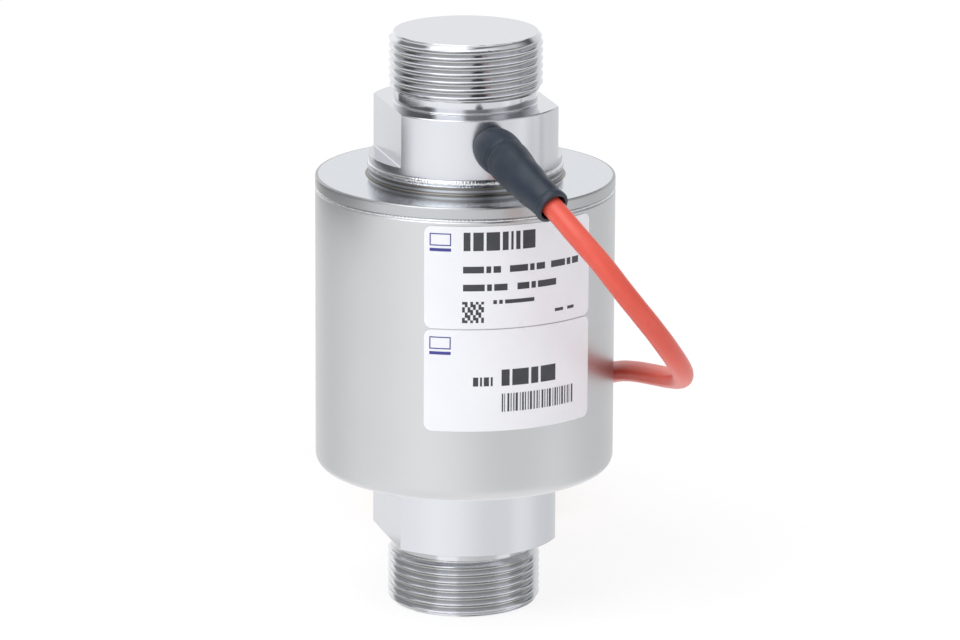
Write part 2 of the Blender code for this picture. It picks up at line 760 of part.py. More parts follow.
def make_hank():
    """The folded spare length as one solid, with the two ends that leave it."""
    main_top = HANK_BOTTOM + HANK_LAYERS * CABLE_DIAMETER
    main = CABLE_DIAMETER + CABLE_RADIUS
    shape = bmesh.new()
    add_waisted_stack(
        shape,
        [
            (main, HANK_BOTTOM),
            (main, main_top),
            (CABLE_RADIUS, main_top),
            (CABLE_RADIUS, main_top + CABLE_DIAMETER),
        ],
    )
    hank = place_mesh("cable_hank", shape, FINISHES["cable"])
    near_fold = -FOLD_SPACING / 2
    lead = bmesh.new()
    lead_u = FOLD_RADIUS - FIT_GAP
    lead_height = layer_height(HANK_LAYERS)
    add_cylinder(
        lead,
        (lead_u, near_fold - LEAD_STUB_LENGTH, lead_height),
        (lead_u, near_fold, lead_height),
        STUB_RADIUS,
        TINY_SEGMENTS,
    )
    lead_cutter = make_cutter("hank_lead_cutter", lead)
    tail = bmesh.new()
    tail_u = FOLD_RADIUS + CABLE_DIAMETER - FIT_GAP
    tail_height = layer_height(0)
    add_cylinder(
        tail,
        (tail_u, near_fold, tail_height),
        (tail_u, near_fold + TAIL_STUB_LENGTH, tail_height),
        STUB_RADIUS,
        TINY_SEGMENTS,
    )
    tail_cutter = make_cutter("hank_tail_cutter", tail)
    for item in (hank, lead_cutter, tail_cutter):
        item.location = (*HANK_CENTRE, 0.0)
        item.rotation_euler = (0.0, 0.0, -HANK_HEADING)
    combine(hank, lead_cutter, "UNION")
    combine(hank, tail_cutter, "UNION")


def make_hank_tie():
    """The plastic tie round the hank's waist."""
    wide = waist_reach(CABLE_DIAMETER + CABLE_RADIUS) + FIT_GAP
    narrow = waist_reach(CABLE_RADIUS) + FIT_GAP
    low = HANK_BOTTOM - FIT_GAP
    step = HANK_BOTTOM + HANK_LAYERS * CABLE_DIAMETER + FIT_GAP
    high = step + CABLE_DIAMETER
    inside = [(wide, low), (wide, step), (narrow, high), (-narrow, high), (-wide, step), (-wide, low)]
    thick = TIE_THICKNESS
    outside = [
        (wide + thick, low - thick),
        (wide + thick, step + thick / 2),
        (narrow + thick / 2, high + thick),
        (-narrow - thick / 2, high + thick),
        (-wide - thick, step + thick / 2),
        (-wide - thick, low - thick),
    ]
    shape = bmesh.new()
    loops = []
    for v, outline in (
        (-TIE_WIDTH / 2, inside),
        (-TIE_WIDTH / 2, outside),
        (TIE_WIDTH / 2, outside),
        (TIE_WIDTH / 2, inside),
    ):
        loops.append([shape.verts.new((u, v, z)) for u, z in outline])
    for low_loop, high_loop in zip(loops, loops[1:] + loops[:1]):
        for k in range(len(inside)):
            n = (k + 1) % len(inside)
            shape.faces.new((low_loop[k], low_loop[n], high_loop[n], high_loop[k]))
    tie = place_mesh("hank_tie", shape, FINISHES["nylon"])
    head = bmesh.new()
    length, width, height = TIE_HEAD
    bottom = high + thick / 2
    add_box(head, (-length / 2, -width / 2, bottom), (length / 2, width / 2, bottom + height))
    head_piece = make_cutter("tie_head_cutter", head)
    for item in (tie, head_piece):
        item.location = (*HANK_CENTRE, 0.0)
        item.rotation_euler = (0.0, 0.0, -HANK_HEADING)
    combine(tie, head_piece, "UNION")


def make_cores():
    """The stripped cores at the cable's free end, each with a crimped sleeve."""
    tail_u = FOLD_RADIUS + CABLE_DIAMETER
    start = -FOLD_SPACING / 2 + TAIL_STUB_LENGTH + FIT_GAP
    places = {
        "core_red": (-1, -1),
        "core_black": (1, -1),
        "core_green": (-1, 1),
        "core_white": (1, 1),
    }
    for name, (across, up) in places.items():
        core = turned(
            name,
            [
                (0.0, 0.0),
                (CORE_RADIUS, 0.0),
                (CORE_RADIUS, CORE_LENGTH),
                (CORE_END_RADIUS, CORE_LENGTH),
                (CORE_END_RADIUS, CORE_LENGTH + CORE_END_LENGTH),
                (0.0, CORE_LENGTH + CORE_END_LENGTH),
            ],
            TINY_SEGMENTS,
            FINISHES[name],
            closed=False,
        )
        u = tail_u + across * CORE_SPACING / 2
        z = layer_height(0) + up * CORE_SPACING / 2
        core.location = hank_point(u, start, z)
        core.rotation_euler = (-QUARTER_TURN, 0.0, -HANK_HEADING)


def make_measuring_parts():
    """Gauges and solder terminals on the column, and the trim board above them."""
    face = COLUMN_WIDTH / 2
    inner = BOARD_BORE_RADIUS
    outer = HOUSING_BORE_RADIUS - BOARD_EDGE_CLEARANCE
    turned(
        "trim_board",
        [(inner, BOARD_BOTTOM), (outer, BOARD_BOTTOM), (outer, BOARD_TOP), (inner, BOARD_TOP)],
        HOUSING_SEGMENTS,
        FINISHES["board"],
    )
    width, height, thickness = GAUGE_SIZE
    terminal_width, terminal_height, terminal_depth = TERMINAL_SIZE
    terminal_middle = SPIGOT_FOOT - TERMINAL_DROP
    terminal_top = terminal_middle + terminal_height / 2
    wire_face = face + BOND_GAP + terminal_depth / 2
    wire_start = terminal_top + FIT_GAP
    wire_end = BOARD_BOTTOM - FIT_GAP - GAUGE_WIRE_RADIUS
    rise = wire_end - wire_start
    reach = inner + GAUGE_WIRE_LAP - wire_face
    for side in range(4):
        turn = Matrix.Rotation(side * QUARTER_TURN, 4, "Z")
        gauge = bmesh.new()
        add_box(
            gauge,
            (face + BOND_GAP, -width / 2, COLUMN_MIDDLE - height / 2),
            (face + BOND_GAP + thickness, width / 2, COLUMN_MIDDLE + height / 2),
        )
        piece = place_mesh(f"strain_gauge_{side + 1}", gauge, FINISHES["foil"])
        piece.rotation_euler = (0.0, 0.0, side * QUARTER_TURN)
        block = bmesh.new()
        add_box(
            block,
            (face + BOND_GAP, -terminal_width / 2, terminal_middle - terminal_height / 2),
            (face + BOND_GAP + terminal_depth, terminal_width / 2, terminal_top),
        )
        terminal = place_mesh(f"solder_terminal_{side + 1}", block, FINISHES["board"])
        terminal.rotation_euler = (0.0, 0.0, side * QUARTER_TURN)
        aside = terminal_width / 3
        route = [
            (wire_face, aside, wire_start),
            (wire_face + reach * 0.05, aside, wire_start + rise * 0.5),
            (wire_face + reach * 0.3, aside, wire_start + rise * 0.92),
            (wire_face + reach * 0.6, aside, wire_end),
            (wire_face + reach, aside, wire_end),
        ]
        line, total = smooth_line(route, (0, 0, 1), (1, 0, 0))
        points = [turn @ Vector(line(d)) for d in np.linspace(0.0, total, 9)]
        make_tube(f"gauge_wire_{side + 1}", points, GAUGE_WIRE_RADIUS, FINISHES["wire"], 1)
    long, wide, deep = RESISTOR_SIZE
    middle = (inner + outer) / 2
    for number in range(RESISTOR_COUNT):
        body = bmesh.new()
        top = BOARD_BOTTOM - FIT_GAP
        add_box(body, (middle - wide / 2, -long / 2, top - deep), (middle + wide / 2, long / 2, top))
        resistor = place_mesh(f"trim_resistor_{number + 1}", body, FINISHES["resistor"])
        resistor.rotation_euler = (0.0, 0.0, RESISTOR_BEARING + number * QUARTER_TURN)


def make_wire_bundle():
    """The cable's cores, from the end of its sheath down to the trim board."""
    under_board = BOARD_BOTTOM - FIT_GAP - BUNDLE_RADIUS
    bend = BUNDLE_BEND
    route = [
        (0.0, CABLE_START_Y + FIT_GAP, OUTLET_HEIGHT),
        (0.0, WIRE_CHANNEL_Y - bend, OUTLET_HEIGHT),
        (0.0, WIRE_CHANNEL_Y - 0.3 * bend, OUTLET_HEIGHT - 0.4 * bend),
        (0.0, WIRE_CHANNEL_Y, OUTLET_HEIGHT - 1.2 * bend),
        (0.0, WIRE_CHANNEL_Y, (OUTLET_HEIGHT + SPIGOT_FOOT) / 2),
        (0.0, WIRE_CHANNEL_Y, SPIGOT_FOOT),
        (0.0, WIRE_CHANNEL_Y - 0.2 * bend, under_board + bend),
        (0.0, WIRE_CHANNEL_Y - 1.5 * bend, under_board),
        (0.0, WIRE_CHANNEL_Y - 4.0 * bend, under_board),
    ]
    line, total = smooth_line(route, (0, 1, 0), (0, -1, 0))
    points = [line(d) for d in np.linspace(0.0, total, 25)]
    make_tube("wire_bundle", points, BUNDLE_RADIUS, FINISHES["wire"], 1)


def make_label(name, top):
    """A thin label bent round the housing, with rounded corners."""
    inside = HOUSING_DIAMETER / 2 + BOND_GAP
    outside = inside + LABEL_THICKNESS
    corner = LABEL_CORNER_RADIUS
    corner_angle = corner / outside
    rounding = [corner_angle * (1 - math.cos(a)) for a in np.linspace(0, QUARTER_TURN, 5)]
    span = LABEL_END - LABEL_START
    plain = np.linspace(corner_angle, span - corner_angle, 13)[1:-1]
    offsets = rounding + list(plain) + [span - r for r in reversed(rounding)]
    shape = bmesh.new()
    columns = []
    for offset in offsets:
        from_edge = min(offset, span - offset) * outside
        inset = corner - math.sqrt(max(corner**2 - max(corner - from_edge, 0.0) ** 2, 0.0))
        angle = LABEL_START + offset
        column = []
        for radius, height in (
            (inside, top - LABEL_HEIGHT + inset),
            (outside, top - LABEL_HEIGHT + inset),
            (outside, top - inset),
            (inside, top - inset),
        ):
            column.append(
                shape.verts.new((radius * math.sin(angle), -radius * math.cos(angle), height))
            )
        columns.append(column)
    for left, right in zip(columns, columns[1:]):
        for k in range(4):
            n = (k + 1) % 4
            shape.faces.new((left[k], left[n], right[n], right[k]))
    shape.faces.new(columns[0])
    shape.faces.new(columns[-1])
    place_mesh(name, shape, FINISHES["label"])


def make_labels():
    """Two labels, one above the other."""
    make_label("label_upper", LABEL_TOP)
    make_label("label_lower", LABEL_TOP - LABEL_HEIGHT - LABEL_SPLIT)


clear_scene()
FINISHES = {
    "steel": finish("turned_stainless_steel", (0.62, 0.63, 0.65), 0.22, 1.0),
    "polished": finish("polished_stainless_steel", (0.66, 0.67, 0.69), 0.12, 1.0),
    "satin": finish("satin_stainless_steel", (0.60, 0.61, 0.62), 0.38, 1.0),
    "weld": finish("bright_weld_bead", (0.66, 0.66, 0.66), 0.30, 1.0),
    "rubber": finish("black_rubber", (0.045, 0.05, 0.062), 0.55),
    "cable": finish("red_cable_sheath", (0.72, 0.09, 0.05), 0.45),
    "nylon": finish("black_nylon", (0.02, 0.02, 0.02), 0.5),
    "label": finish("white_label_film", (0.86, 0.87, 0.90), 0.4),
    "foil": finish("gauge_foil_on_film", (0.62, 0.38, 0.12), 0.4, 0.3),
    "board": finish("green_circuit_board", (0.02, 0.14, 0.05), 0.5),
    "resistor": finish("black_resistor", (0.03, 0.03, 0.03), 0.5),
    "wire": finish("grey_wire_insulation", (0.3, 0.3, 0.3), 0.5),
    "core_red": finish("red_core_insulation", (0.6, 0.03, 0.02), 0.5),
    "core_black": finish("black_core_insulation", (0.015, 0.015, 0.015), 0.5),
    "core_green": finish("green_core_insulation", (0.02, 0.3, 0.06), 0.5),
    "core_white": finish("white_core_insulation", (0.8, 0.8, 0.78), 0.5),
}
make_load_element()
make_housing()
make_neck_welds()
make_gland()
make_boot()
make_cable()
make_hank()
make_hank_tie()
make_cores()
make_measuring_parts()
make_wire_bundle()
make_labels()
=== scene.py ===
# %% [markdown]
# # A tension load cell
# A load cell of this kind hangs in a pulling line and measures the force. One
# steel element, turned from bar, has a threaded stud at each end. A welded
# housing keeps water away from the strain gauges, and a red cable brings the
# signal out through a rubber boot. The solid model is the fixed frame here, and
# this lesson dresses each of its pieces with a fine surface and a real finish.

# %% Load the frame
import math

import bmesh
import bpy
import numpy as np
from mathutils import Matrix, Vector


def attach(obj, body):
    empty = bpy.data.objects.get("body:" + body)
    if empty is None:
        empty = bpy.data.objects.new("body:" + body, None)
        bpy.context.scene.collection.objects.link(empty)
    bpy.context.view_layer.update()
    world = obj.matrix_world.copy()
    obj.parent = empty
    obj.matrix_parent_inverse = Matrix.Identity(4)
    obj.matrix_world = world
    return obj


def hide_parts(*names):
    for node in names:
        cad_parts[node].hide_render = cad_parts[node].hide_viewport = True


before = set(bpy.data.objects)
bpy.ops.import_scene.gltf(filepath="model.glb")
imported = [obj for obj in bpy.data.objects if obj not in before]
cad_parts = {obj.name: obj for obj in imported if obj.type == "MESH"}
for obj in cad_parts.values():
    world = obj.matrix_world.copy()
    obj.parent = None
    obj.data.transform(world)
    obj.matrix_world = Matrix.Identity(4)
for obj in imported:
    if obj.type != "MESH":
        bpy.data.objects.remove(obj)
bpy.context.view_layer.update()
MM = 0.001


def add_object(name, data):
    """A new object that holds this data, linked to the scene."""
    thing = bpy.data.objects.new(name, data)
    bpy.context.scene.collection.objects.link(thing)
    return thing


print("solids in the frame:", len(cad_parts))

# %% [markdown]
# ## The camera
# The photograph was taken with a long lens from a little above the object. A
# pinhole model was fitted to it, so the camera stands where that one stood.
# The two turns below are built as plain vectors: where the camera looks, and
# which way is right in its picture.

# %% Camera
CAMERA_PLACE = Vector((-0.41144, -1.44900, 0.47112))
VIEW_RIGHT = np.array([0.96126, -0.27564, 0.0])
VIEW_AWAY = np.array([0.27564, 0.96126, 0.0])
PITCH = math.radians(14.7847)
ROLL = math.radians(0.3001)
PIXELS_PER_UNIT = 6111.845
PICTURE_WIDTH = 960

forward = Vector(VIEW_AWAY) * math.cos(PITCH) - Vector((0, 0, 1)) * math.sin(PITCH)
level_right = Vector(VIEW_RIGHT)
level_up = level_right.cross(forward)
picture_right = level_right * math.cos(ROLL) + level_up * math.sin(ROLL)
picture_up = level_up * math.cos(ROLL) - level_right * math.sin(ROLL)
camera_data = bpy.data.cameras.new("photo_camera")
camera_data.sensor_width = 36.0
camera_data.lens = 36.0 * PIXELS_PER_UNIT / PICTURE_WIDTH
camera_data.clip_start = 0.05
camera_data.clip_end = 50.0
camera = add_object("photo_camera", camera_data)
turn = Matrix((picture_right, picture_up, -forward)).transposed()
camera.matrix_world = Matrix.Translation(CAMERA_PLACE) @ turn.to_4x4()
bpy.context.scene.camera = camera
print("lens", round(camera_data.lens, 1), "mm")

# %% [markdown]
# ## Surfaces from grids
# Every new piece is a grid of points worked out with numpy. Neighbours in the
# grid make a four-sided face, and a grid that closes on itself is joined there.
# A closed surface has a volume, and its sign tells whether the faces look out.

# %% Grid helpers
def grid_faces(rows, columns, close_rows, close_columns):
    """Four corners a face: (i, j), (i + 1, j), (i + 1, j + 1) and (i, j + 1)."""
    i, j = np.meshgrid(
        np.arange(rows if close_rows else rows - 1),
        np.arange(columns if close_columns else columns - 1),
        indexing="ij",
    )
    down = (i + 1) % rows
    across = (j + 1) % columns
    faces = [i * columns + j, down * columns + j, down * columns + across, i * columns + across]
    return np.stack(faces, axis=-1).reshape(-1, 4)


def enclosed_volume(points, faces):
    """A sixth of the sum of the box products of each triangle's corners."""
    total = 0.0
    for a, b, c in ((0, 1, 2), (0, 2, 3)):
        p, q, r = (points[faces[:, k]] for k in (a, b, c))
        total += np.einsum("ij,ij->i", p, np.cross(q, r)).sum() / 6
    return total


def full_turn(count):
    """Evenly spaced angles all round, in radians."""
    return np.linspace(0, 2 * math.pi, count, endpoint=False)


def unit(vectors):
    """Each vector divided by its own length."""
    return vectors / np.linalg.norm(vectors, axis=1)[:, None]


def lengths_along(points):
    """Nought at the first point, then the running sum of the steps between neighbours."""
    return np.concatenate([[0.0], np.cumsum(np.linalg.norm(np.diff(points, axis=0), axis=1))])


print("faces of a ring of 3 by 4 points:", len(grid_faces(3, 4, True, True)))


# %% Pieces from arrays
def make_piece(name, points, faces, finish, nodes=(), weld=0.0, sharp=40.0):
    """A mesh object from arrays, turned outwards, smooth, and riding on the frame."""
    points = np.asarray(points, float).reshape(-1, 3)
    if enclosed_volume(points, faces) < 0:
        faces = faces[:, ::-1]
    mesh = bpy.data.meshes.new(name)
    mesh.from_pydata(points, [], faces.tolist())
    if weld:
        shape = bmesh.new()
        shape.from_mesh(mesh)
        bmesh.ops.remove_doubles(shape, verts=shape.verts[:], dist=weld)
        bmesh.ops.recalc_face_normals(shape, faces=shape.faces[:])
        shape.to_mesh(mesh)
        shape.free()
    mesh.validate()
    mesh.shade_smooth()
    mesh.set_sharp_from_angle(angle=math.radians(sharp))
    mesh.materials.append(finish)
    piece = add_object(name, mesh)
    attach(piece, "root")
    if nodes:
        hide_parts(*nodes)
    print(f"{name}: {len(mesh.vertices)} points, {len(mesh.polygons)} faces")
    return piece


# %% [markdown]
# ## The route of the cable
# The cable leaves the upper collar straight, bows out and down under its own
# weight, and goes round the housing to the back. Its spare length is folded into
# a waisted hank behind the object. The first stretch is a cubic spline through a
# few points; the hank is ten loops, each in its own layer and track.

# %% First stretch
CABLE_DIAMETER = 0.0054
CABLE_RADIUS = CABLE_DIAMETER / 2
OUTLET_HEIGHT = 0.1244
HANK_CENTRE = np.array([0.0254, 0.1113])
HANK_HEADING = math.radians(4.4)
FOLD_RADIUS = 3 * CABLE_DIAMETER
FOLD_SPACING = 0.058
HANK_BOTTOM = 0.0018
HANK_LAYERS = 5
LEAD_LENGTH = 0.0173
TAIL_LENGTH = 0.0200


def to_hank(u, v, z):
    """Across, along and above the hank become world places: a turn about Z, then a shift."""
    x = HANK_CENTRE[0] + u * math.cos(HANK_HEADING) + v * math.sin(HANK_HEADING)
    y = HANK_CENTRE[1] - u * math.sin(HANK_HEADING) + v * math.cos(HANK_HEADING)
    return np.stack(np.broadcast_arrays(x, y, z), axis=-1)


def layer_height(number):
    """Middle of a layer of turns: half a diameter up, and a diameter more for each next one."""
    return HANK_BOTTOM + CABLE_RADIUS + number * CABLE_DIAMETER


ROUTE = np.array(
    [
        (0.0, -0.0210, OUTLET_HEIGHT), (0.0, -0.0270, OUTLET_HEIGHT),
        (0.0001, -0.0335, 0.1242), (0.0008, -0.0435, 0.1226), (0.0025, -0.0530, 0.1200),
        (0.0052, -0.0607, 0.1169), (0.0084, -0.0670, 0.1124), (0.0134, -0.0727, 0.1059),
        (0.0190, -0.0754, 0.0982), (0.0259, -0.0747, 0.0895), (0.0319, -0.0706, 0.0820),
        (0.0377, -0.0625, 0.0747), (0.0427, -0.0473, 0.0678), (0.0438, -0.0258, 0.0626),
        (0.0426, -0.0074, 0.0590), (0.0416, 0.0050, 0.0556), (0.0393, 0.0210, 0.0487),
        (0.0378, 0.0360, 0.0410), (0.0372, 0.0500, 0.0346),
        tuple(to_hank(FOLD_RADIUS, -FOLD_SPACING / 2 - LEAD_LENGTH, layer_height(HANK_LAYERS))),
    ]
)


def spline(places, first, last):
    """Slopes that join cubic pieces smoothly, and a function from chord length to place."""
    chords = np.linalg.norm(np.diff(places, axis=0), axis=1)
    knots = lengths_along(places)
    system = np.eye(len(places))
    inner = np.arange(1, len(places) - 1)
    system[inner, inner - 1] = chords[1:]
    system[inner, inner] = 2 * (chords[:-1] + chords[1:])
    system[inner, inner + 1] = chords[:-1]
    steps = np.diff(places, axis=0) / chords[:, None]
    inside = 3 * (chords[:-1, None] * steps[1:] + chords[1:, None] * steps[:-1])
    wanted = np.vstack([first, inside, last])
    slopes = np.linalg.solve(system, wanted)

    def at(distance):
        """The cubic between two neighbours: four weights that blend both places and both slopes."""
        distance = np.atleast_1d(distance)
        i = np.clip(np.searchsorted(knots, distance) - 1, 0, len(chords) - 1)
        step = chords[i][:, None]
        t = ((distance - knots[i]) / chords[i])[:, None]
        return (
            (2 * t**3 - 3 * t**2 + 1) * places[i]
            + (t**3 - 2 * t**2 + t) * step * slopes[i]
            + (3 * t**2 - 2 * t**3) * places[i + 1]
            + (t**3 - t**2) * step * slopes[i + 1]
        )

    return at, knots[-1]


into_hank = np.array([math.sin(HANK_HEADING), math.cos(HANK_HEADING), 0.0])
cable_at, first_length = spline(ROUTE, np.array([0.0, -1.0, 0.0]), into_hank)
print("first stretch, mm:", round(first_length / MM, 1))

# %% [markdown]
# A folded hank is two round folds with a waist where the tie pulls it in. Its
# outline is four arcs, and outer turns follow it one diameter further out. The
# turns change layer or track one after another, each a little before the next,
# so that none passes through its neighbour.

# %% Hank outline
WAIST = 0.0002 + CABLE_RADIUS


def hank_outline():
    """The waisted inner loop from its near right side: points, outward directions and lengths."""
    half = FOLD_SPACING / 2
    spread = FOLD_RADIUS - WAIST
    neck = (half**2 / spread - FOLD_RADIUS - WAIST) / 2
    lean = math.atan2(half, WAIST + neck)
    pieces = (
        ((0.0, -half), FOLD_RADIUS, 0.0, lean, 1),
        ((WAIST + neck, 0.0), neck, math.pi + lean, math.pi - lean, -1),
        ((0.0, half), FOLD_RADIUS, -lean, math.pi + lean, 1),
        ((-WAIST - neck, 0.0), neck, lean, -lean, -1),
        ((0.0, -half), FOLD_RADIUS, math.pi - lean, 2 * math.pi, 1),
    )
    points = []
    outward = []
    for centre, radius, start, end, side in pieces:
        angles = np.linspace(start, end, 400, endpoint=False)
        rays = np.stack([np.cos(angles), np.sin(angles)], axis=1)
        points.append(np.array(centre) + radius * rays)
        outward.append(side * rays)
    points = np.vstack(points + [points[0][:1]])
    outward = np.vstack(outward + [outward[0][:1]])
    return points, outward, lengths_along(points)


print("one loop of the hank, mm:", round(hank_outline()[2][-1] / MM, 1))

# %% Hank turns
HANK_TRACKS = [(5, 0), (4, 0), (4, 1), (3, 1), (3, 0), (2, 0), (2, 1), (1, 1), (1, 0)]
HANK_TRACKS += [(0, 0), (0, 1)]
LOOPS = 10
CHANGE_LAG = 0.089
CHANGE_WIDTH = 0.22


def hank_turns(count):
    """Ten loops: the place on the outline, pushed out and down by smooth steps, one step a loop."""
    outline, outward, lengths = hank_outline()
    loops = np.linspace(0.0, float(LOOPS), count)
    track = np.full(count, float(HANK_TRACKS[0][1]))
    layer = np.full(count, float(HANK_TRACKS[0][0]))
    for k in range(LOOPS):
        start = k + CHANGE_LAG * (LOOPS - k) - CHANGE_WIDTH / 2
        t = np.clip((loops - start) / CHANGE_WIDTH, 0.0, 1.0)
        t = t * t * (3 - 2 * t)
        layer += t * (HANK_TRACKS[k + 1][0] - HANK_TRACKS[k][0])
        track += t * (HANK_TRACKS[k + 1][1] - HANK_TRACKS[k][1])
    along = (loops % 1.0) * lengths[-1]
    u, v = (
        np.interp(along, lengths, outline[:, k])
        + track * CABLE_DIAMETER * np.interp(along, lengths, outward[:, k])
        for k in (0, 1)
    )
    return to_hank(u, v, layer_height(layer))


print("layers and loops of the hank:", HANK_LAYERS + 1, LOOPS)

# %% Whole path
FIRST_RINGS = 260
HANK_RINGS = 1400
near = -FOLD_SPACING / 2
lead_places = np.linspace(near - LEAD_LENGTH, near, 12)[1:-1]
lead = to_hank(FOLD_RADIUS, lead_places, layer_height(HANK_LAYERS))
tail_places = np.linspace(near, near + TAIL_LENGTH, 12)[1:]
tail = to_hank(FOLD_RADIUS + CABLE_DIAMETER, tail_places, layer_height(0))
first_stretch = cable_at(np.linspace(0.0, first_length, FIRST_RINGS))
cable_path = np.vstack([first_stretch, lead, hank_turns(HANK_RINGS), tail])

# %% [markdown]
# A tube is a circle carried along the path. Each circle needs two directions
# square to the path: one is level, the other is what is left over.

# %% Tube along a path
def square_to(along):
    """Two unit directions for each one along: level and square to it, and square to both."""
    across = unit(np.cross(along, [0.0, 0.0, 1.0]))
    return across, np.cross(across, along)


def circles(across, up, angles):
    """For every place on a path the circle cos a times across plus sin a times up."""
    a = angles[:, None]
    return np.cos(a) * across[:, None, :] + np.sin(a) * up[:, None, :]


def capped_tube(centres, radius, columns):
    """The tube's rings, with a flat face and a small rounded edge at each end."""
    along = unit(np.gradient(centres, axis=0))
    across, up = square_to(along)
    shrink = np.array([0.0, 0.86, 1.0])
    inset = np.array([0.0, 0.0, 0.14])[:, None] * radius
    first = centres[0] + inset * along[0]
    last = centres[-1] - inset[::-1] * along[-1]
    places = np.vstack([first, centres[1:-1], last])
    radii = np.concatenate([shrink, np.ones(len(centres) - 2), shrink[::-1]]) * radius
    across, up = (np.vstack([[d[0]] * 3, d[1:-1], [d[-1]] * 3]) for d in (across, up))
    return places[:, None, :] + radii[:, None, None] * circles(across, up, full_turn(columns))


CABLE_COLUMNS = 20
cable_points = capped_tube(cable_path, CABLE_RADIUS, CABLE_COLUMNS)
print("points of the cable's tube:", cable_points.shape)

# %% [markdown]
# ## Colours and nodes
# Colours are written as they look on a screen and turned into light values by
# one function. Another adds a shader node with its settings and its links.

# %% Colour and node helpers
def linear(hex_colour):
    """sRGB to linear light: the low part is divided by 12.92, the rest follows a power of 2.4."""
    shown = np.array([int(hex_colour[k : k + 2], 16) for k in (1, 3, 5)]) / 255
    light = np.where(shown <= 0.04045, shown / 12.92, ((shown + 0.055) / 1.055) ** 2.4)
    return (*light.tolist(), 1.0)


def add(tree, kind, inputs=None, **settings):
    """A node of a kind, with its settings, its input values and its links from other sockets."""
    node = tree.nodes.new("ShaderNode" + kind)
    for key, value in settings.items():
        setattr(node, key, value)
    for key, value in (inputs or {}).items():
        if isinstance(value, bpy.types.NodeSocket):
            tree.links.new(value, node.inputs[key])
        else:
            node.inputs[key].default_value = value
    return node


def new_finish(name, base, roughness, metallic=0.0, **more):
    """A material whose shader has its plain values on its own sockets."""
    finish = bpy.data.materials.new(name)
    finish.use_nodes = True
    shader = finish.node_tree.nodes["Principled BSDF"]
    shader.inputs["Base Color"].default_value = linear(base)
    shader.inputs["Roughness"].default_value = roughness
    shader.inputs["Metallic"].default_value = metallic
    for key, value in more.items():
        shader.inputs[key.replace("_", " ")].default_value = value
    return finish, finish.node_tree, shader


def per_mm(size):
    """The scale of a pattern whose features are this many millimetres wide."""
    return 1000.0 / size


def ramp(tree, value, stops):
    """A colour ramp with (place, brightness or hex colour) stops."""
    node = add(tree, "ValToRGB", {"Fac": value})
    elements = node.color_ramp.elements
    while len(elements) < len(stops):
        elements.new(1.0)
    for element, (place, shade) in zip(elements, stops):
        element.position = place
        element.color = linear(shade) if isinstance(shade, str) else (shade, shade, shade, 1.0)
    return node


print("a middle grey as light:", round(linear("#808080")[0], 3))

# %% [markdown]
# ## Steel finishes
# Turned stainless steel keeps the fine rings of the lathe tool: level lines on
# round faces and circles on flat ones. The rings are a noise pattern that is
# stretched far round the axis, so both cases need the distance from the axis
# and the height, and the pattern changes quickly only along those two.

# %% Steel
STREAK = 0.05


def axis_places(tree):
    """A point's place, its distance from the Z axis and its coordinates."""
    place = add(tree, "TexCoord").outputs["Object"]
    axes = add(tree, "SeparateXYZ", {"Vector": place}).outputs
    flat = add(tree, "CombineXYZ", {"X": axes["X"], "Y": axes["Y"]}).outputs["Vector"]
    distance = add(tree, "VectorMath", {0: flat}, operation="LENGTH").outputs["Value"]
    return place, distance, axes


def turned_steel(name, base, roughness, ring_mm, depth_mm, patch=0.06):
    """Steel with rings about the Z axis, and soft patches where hands and tools have been."""
    finish, tree, shader = new_finish(name, base, roughness, 1.0)
    place, distance, axes = axis_places(tree)
    angle = add(tree, "Math", {0: axes["Y"], 1: axes["X"]}, operation="ARCTAN2").outputs["Value"]
    turns = add(tree, "Math", {0: angle, 1: 0.0006}, operation="MULTIPLY").outputs["Value"]
    rings = add(tree, "CombineXYZ", {"X": distance, "Y": turns, "Z": axes["Z"]}).outputs["Vector"]
    fine = {"Vector": rings, "Scale": per_mm(ring_mm), "Detail": 3.0, "Roughness": 0.6}
    marks = add(tree, "TexNoise", fine).outputs["Fac"]
    broad = {"Vector": place, "Scale": per_mm(14.0), "Detail": 4.0, "Roughness": 0.55}
    patches = add(tree, "TexNoise", broad).outputs["Fac"]
    streaks = {0: marks, 1: STREAK, 2: roughness - STREAK / 2}
    first = add(tree, "Math", streaks, operation="MULTIPLY_ADD").outputs[0]
    handled = {0: patches, 1: patch, 2: -patch / 2}
    second = add(tree, "Math", handled, operation="MULTIPLY_ADD").outputs[0]
    rough = add(tree, "Math", {0: first, 1: second}, operation="ADD", use_clamp=True)
    tree.links.new(rough.outputs[0], shader.inputs["Roughness"])
    bump = add(tree, "Bump", {"Height": marks, "Strength": 0.35, "Distance": depth_mm * MM})
    tree.links.new(bump.outputs["Normal"], shader.inputs["Normal"])
    return finish


def zone(tree, value, low_mm, high_mm):
    """Nought where a length is below the first limit, one above the second, smooth between."""
    limits = {"Value": value, "From Min": low_mm * MM, "From Max": high_mm * MM}
    return add(tree, "MapRange", limits, interpolation_type="SMOOTHSTEP").outputs[0]


def roughen(finish, share, amount):
    """More or less roughness where the share is one."""
    tree = finish.node_tree
    socket = tree.nodes["Principled BSDF"].inputs["Roughness"]
    before = socket.links[0].from_socket
    after = add(tree, "Math", {0: share, 1: amount, 2: before}, operation="MULTIPLY_ADD").outputs[0]
    tree.links.new(after, socket)


def tint(finish, share, colour):
    """Another colour where the share is one, over what the colour was before."""
    tree = finish.node_tree
    socket = tree.nodes["Principled BSDF"].inputs["Base Color"]
    before = socket.links[0].from_socket if socket.is_linked else tuple(socket.default_value)
    colours = {0: share, 6: before, 7: linear(colour)}
    tree.links.new(add(tree, "Mix", colours, data_type="RGBA").outputs[2], socket)


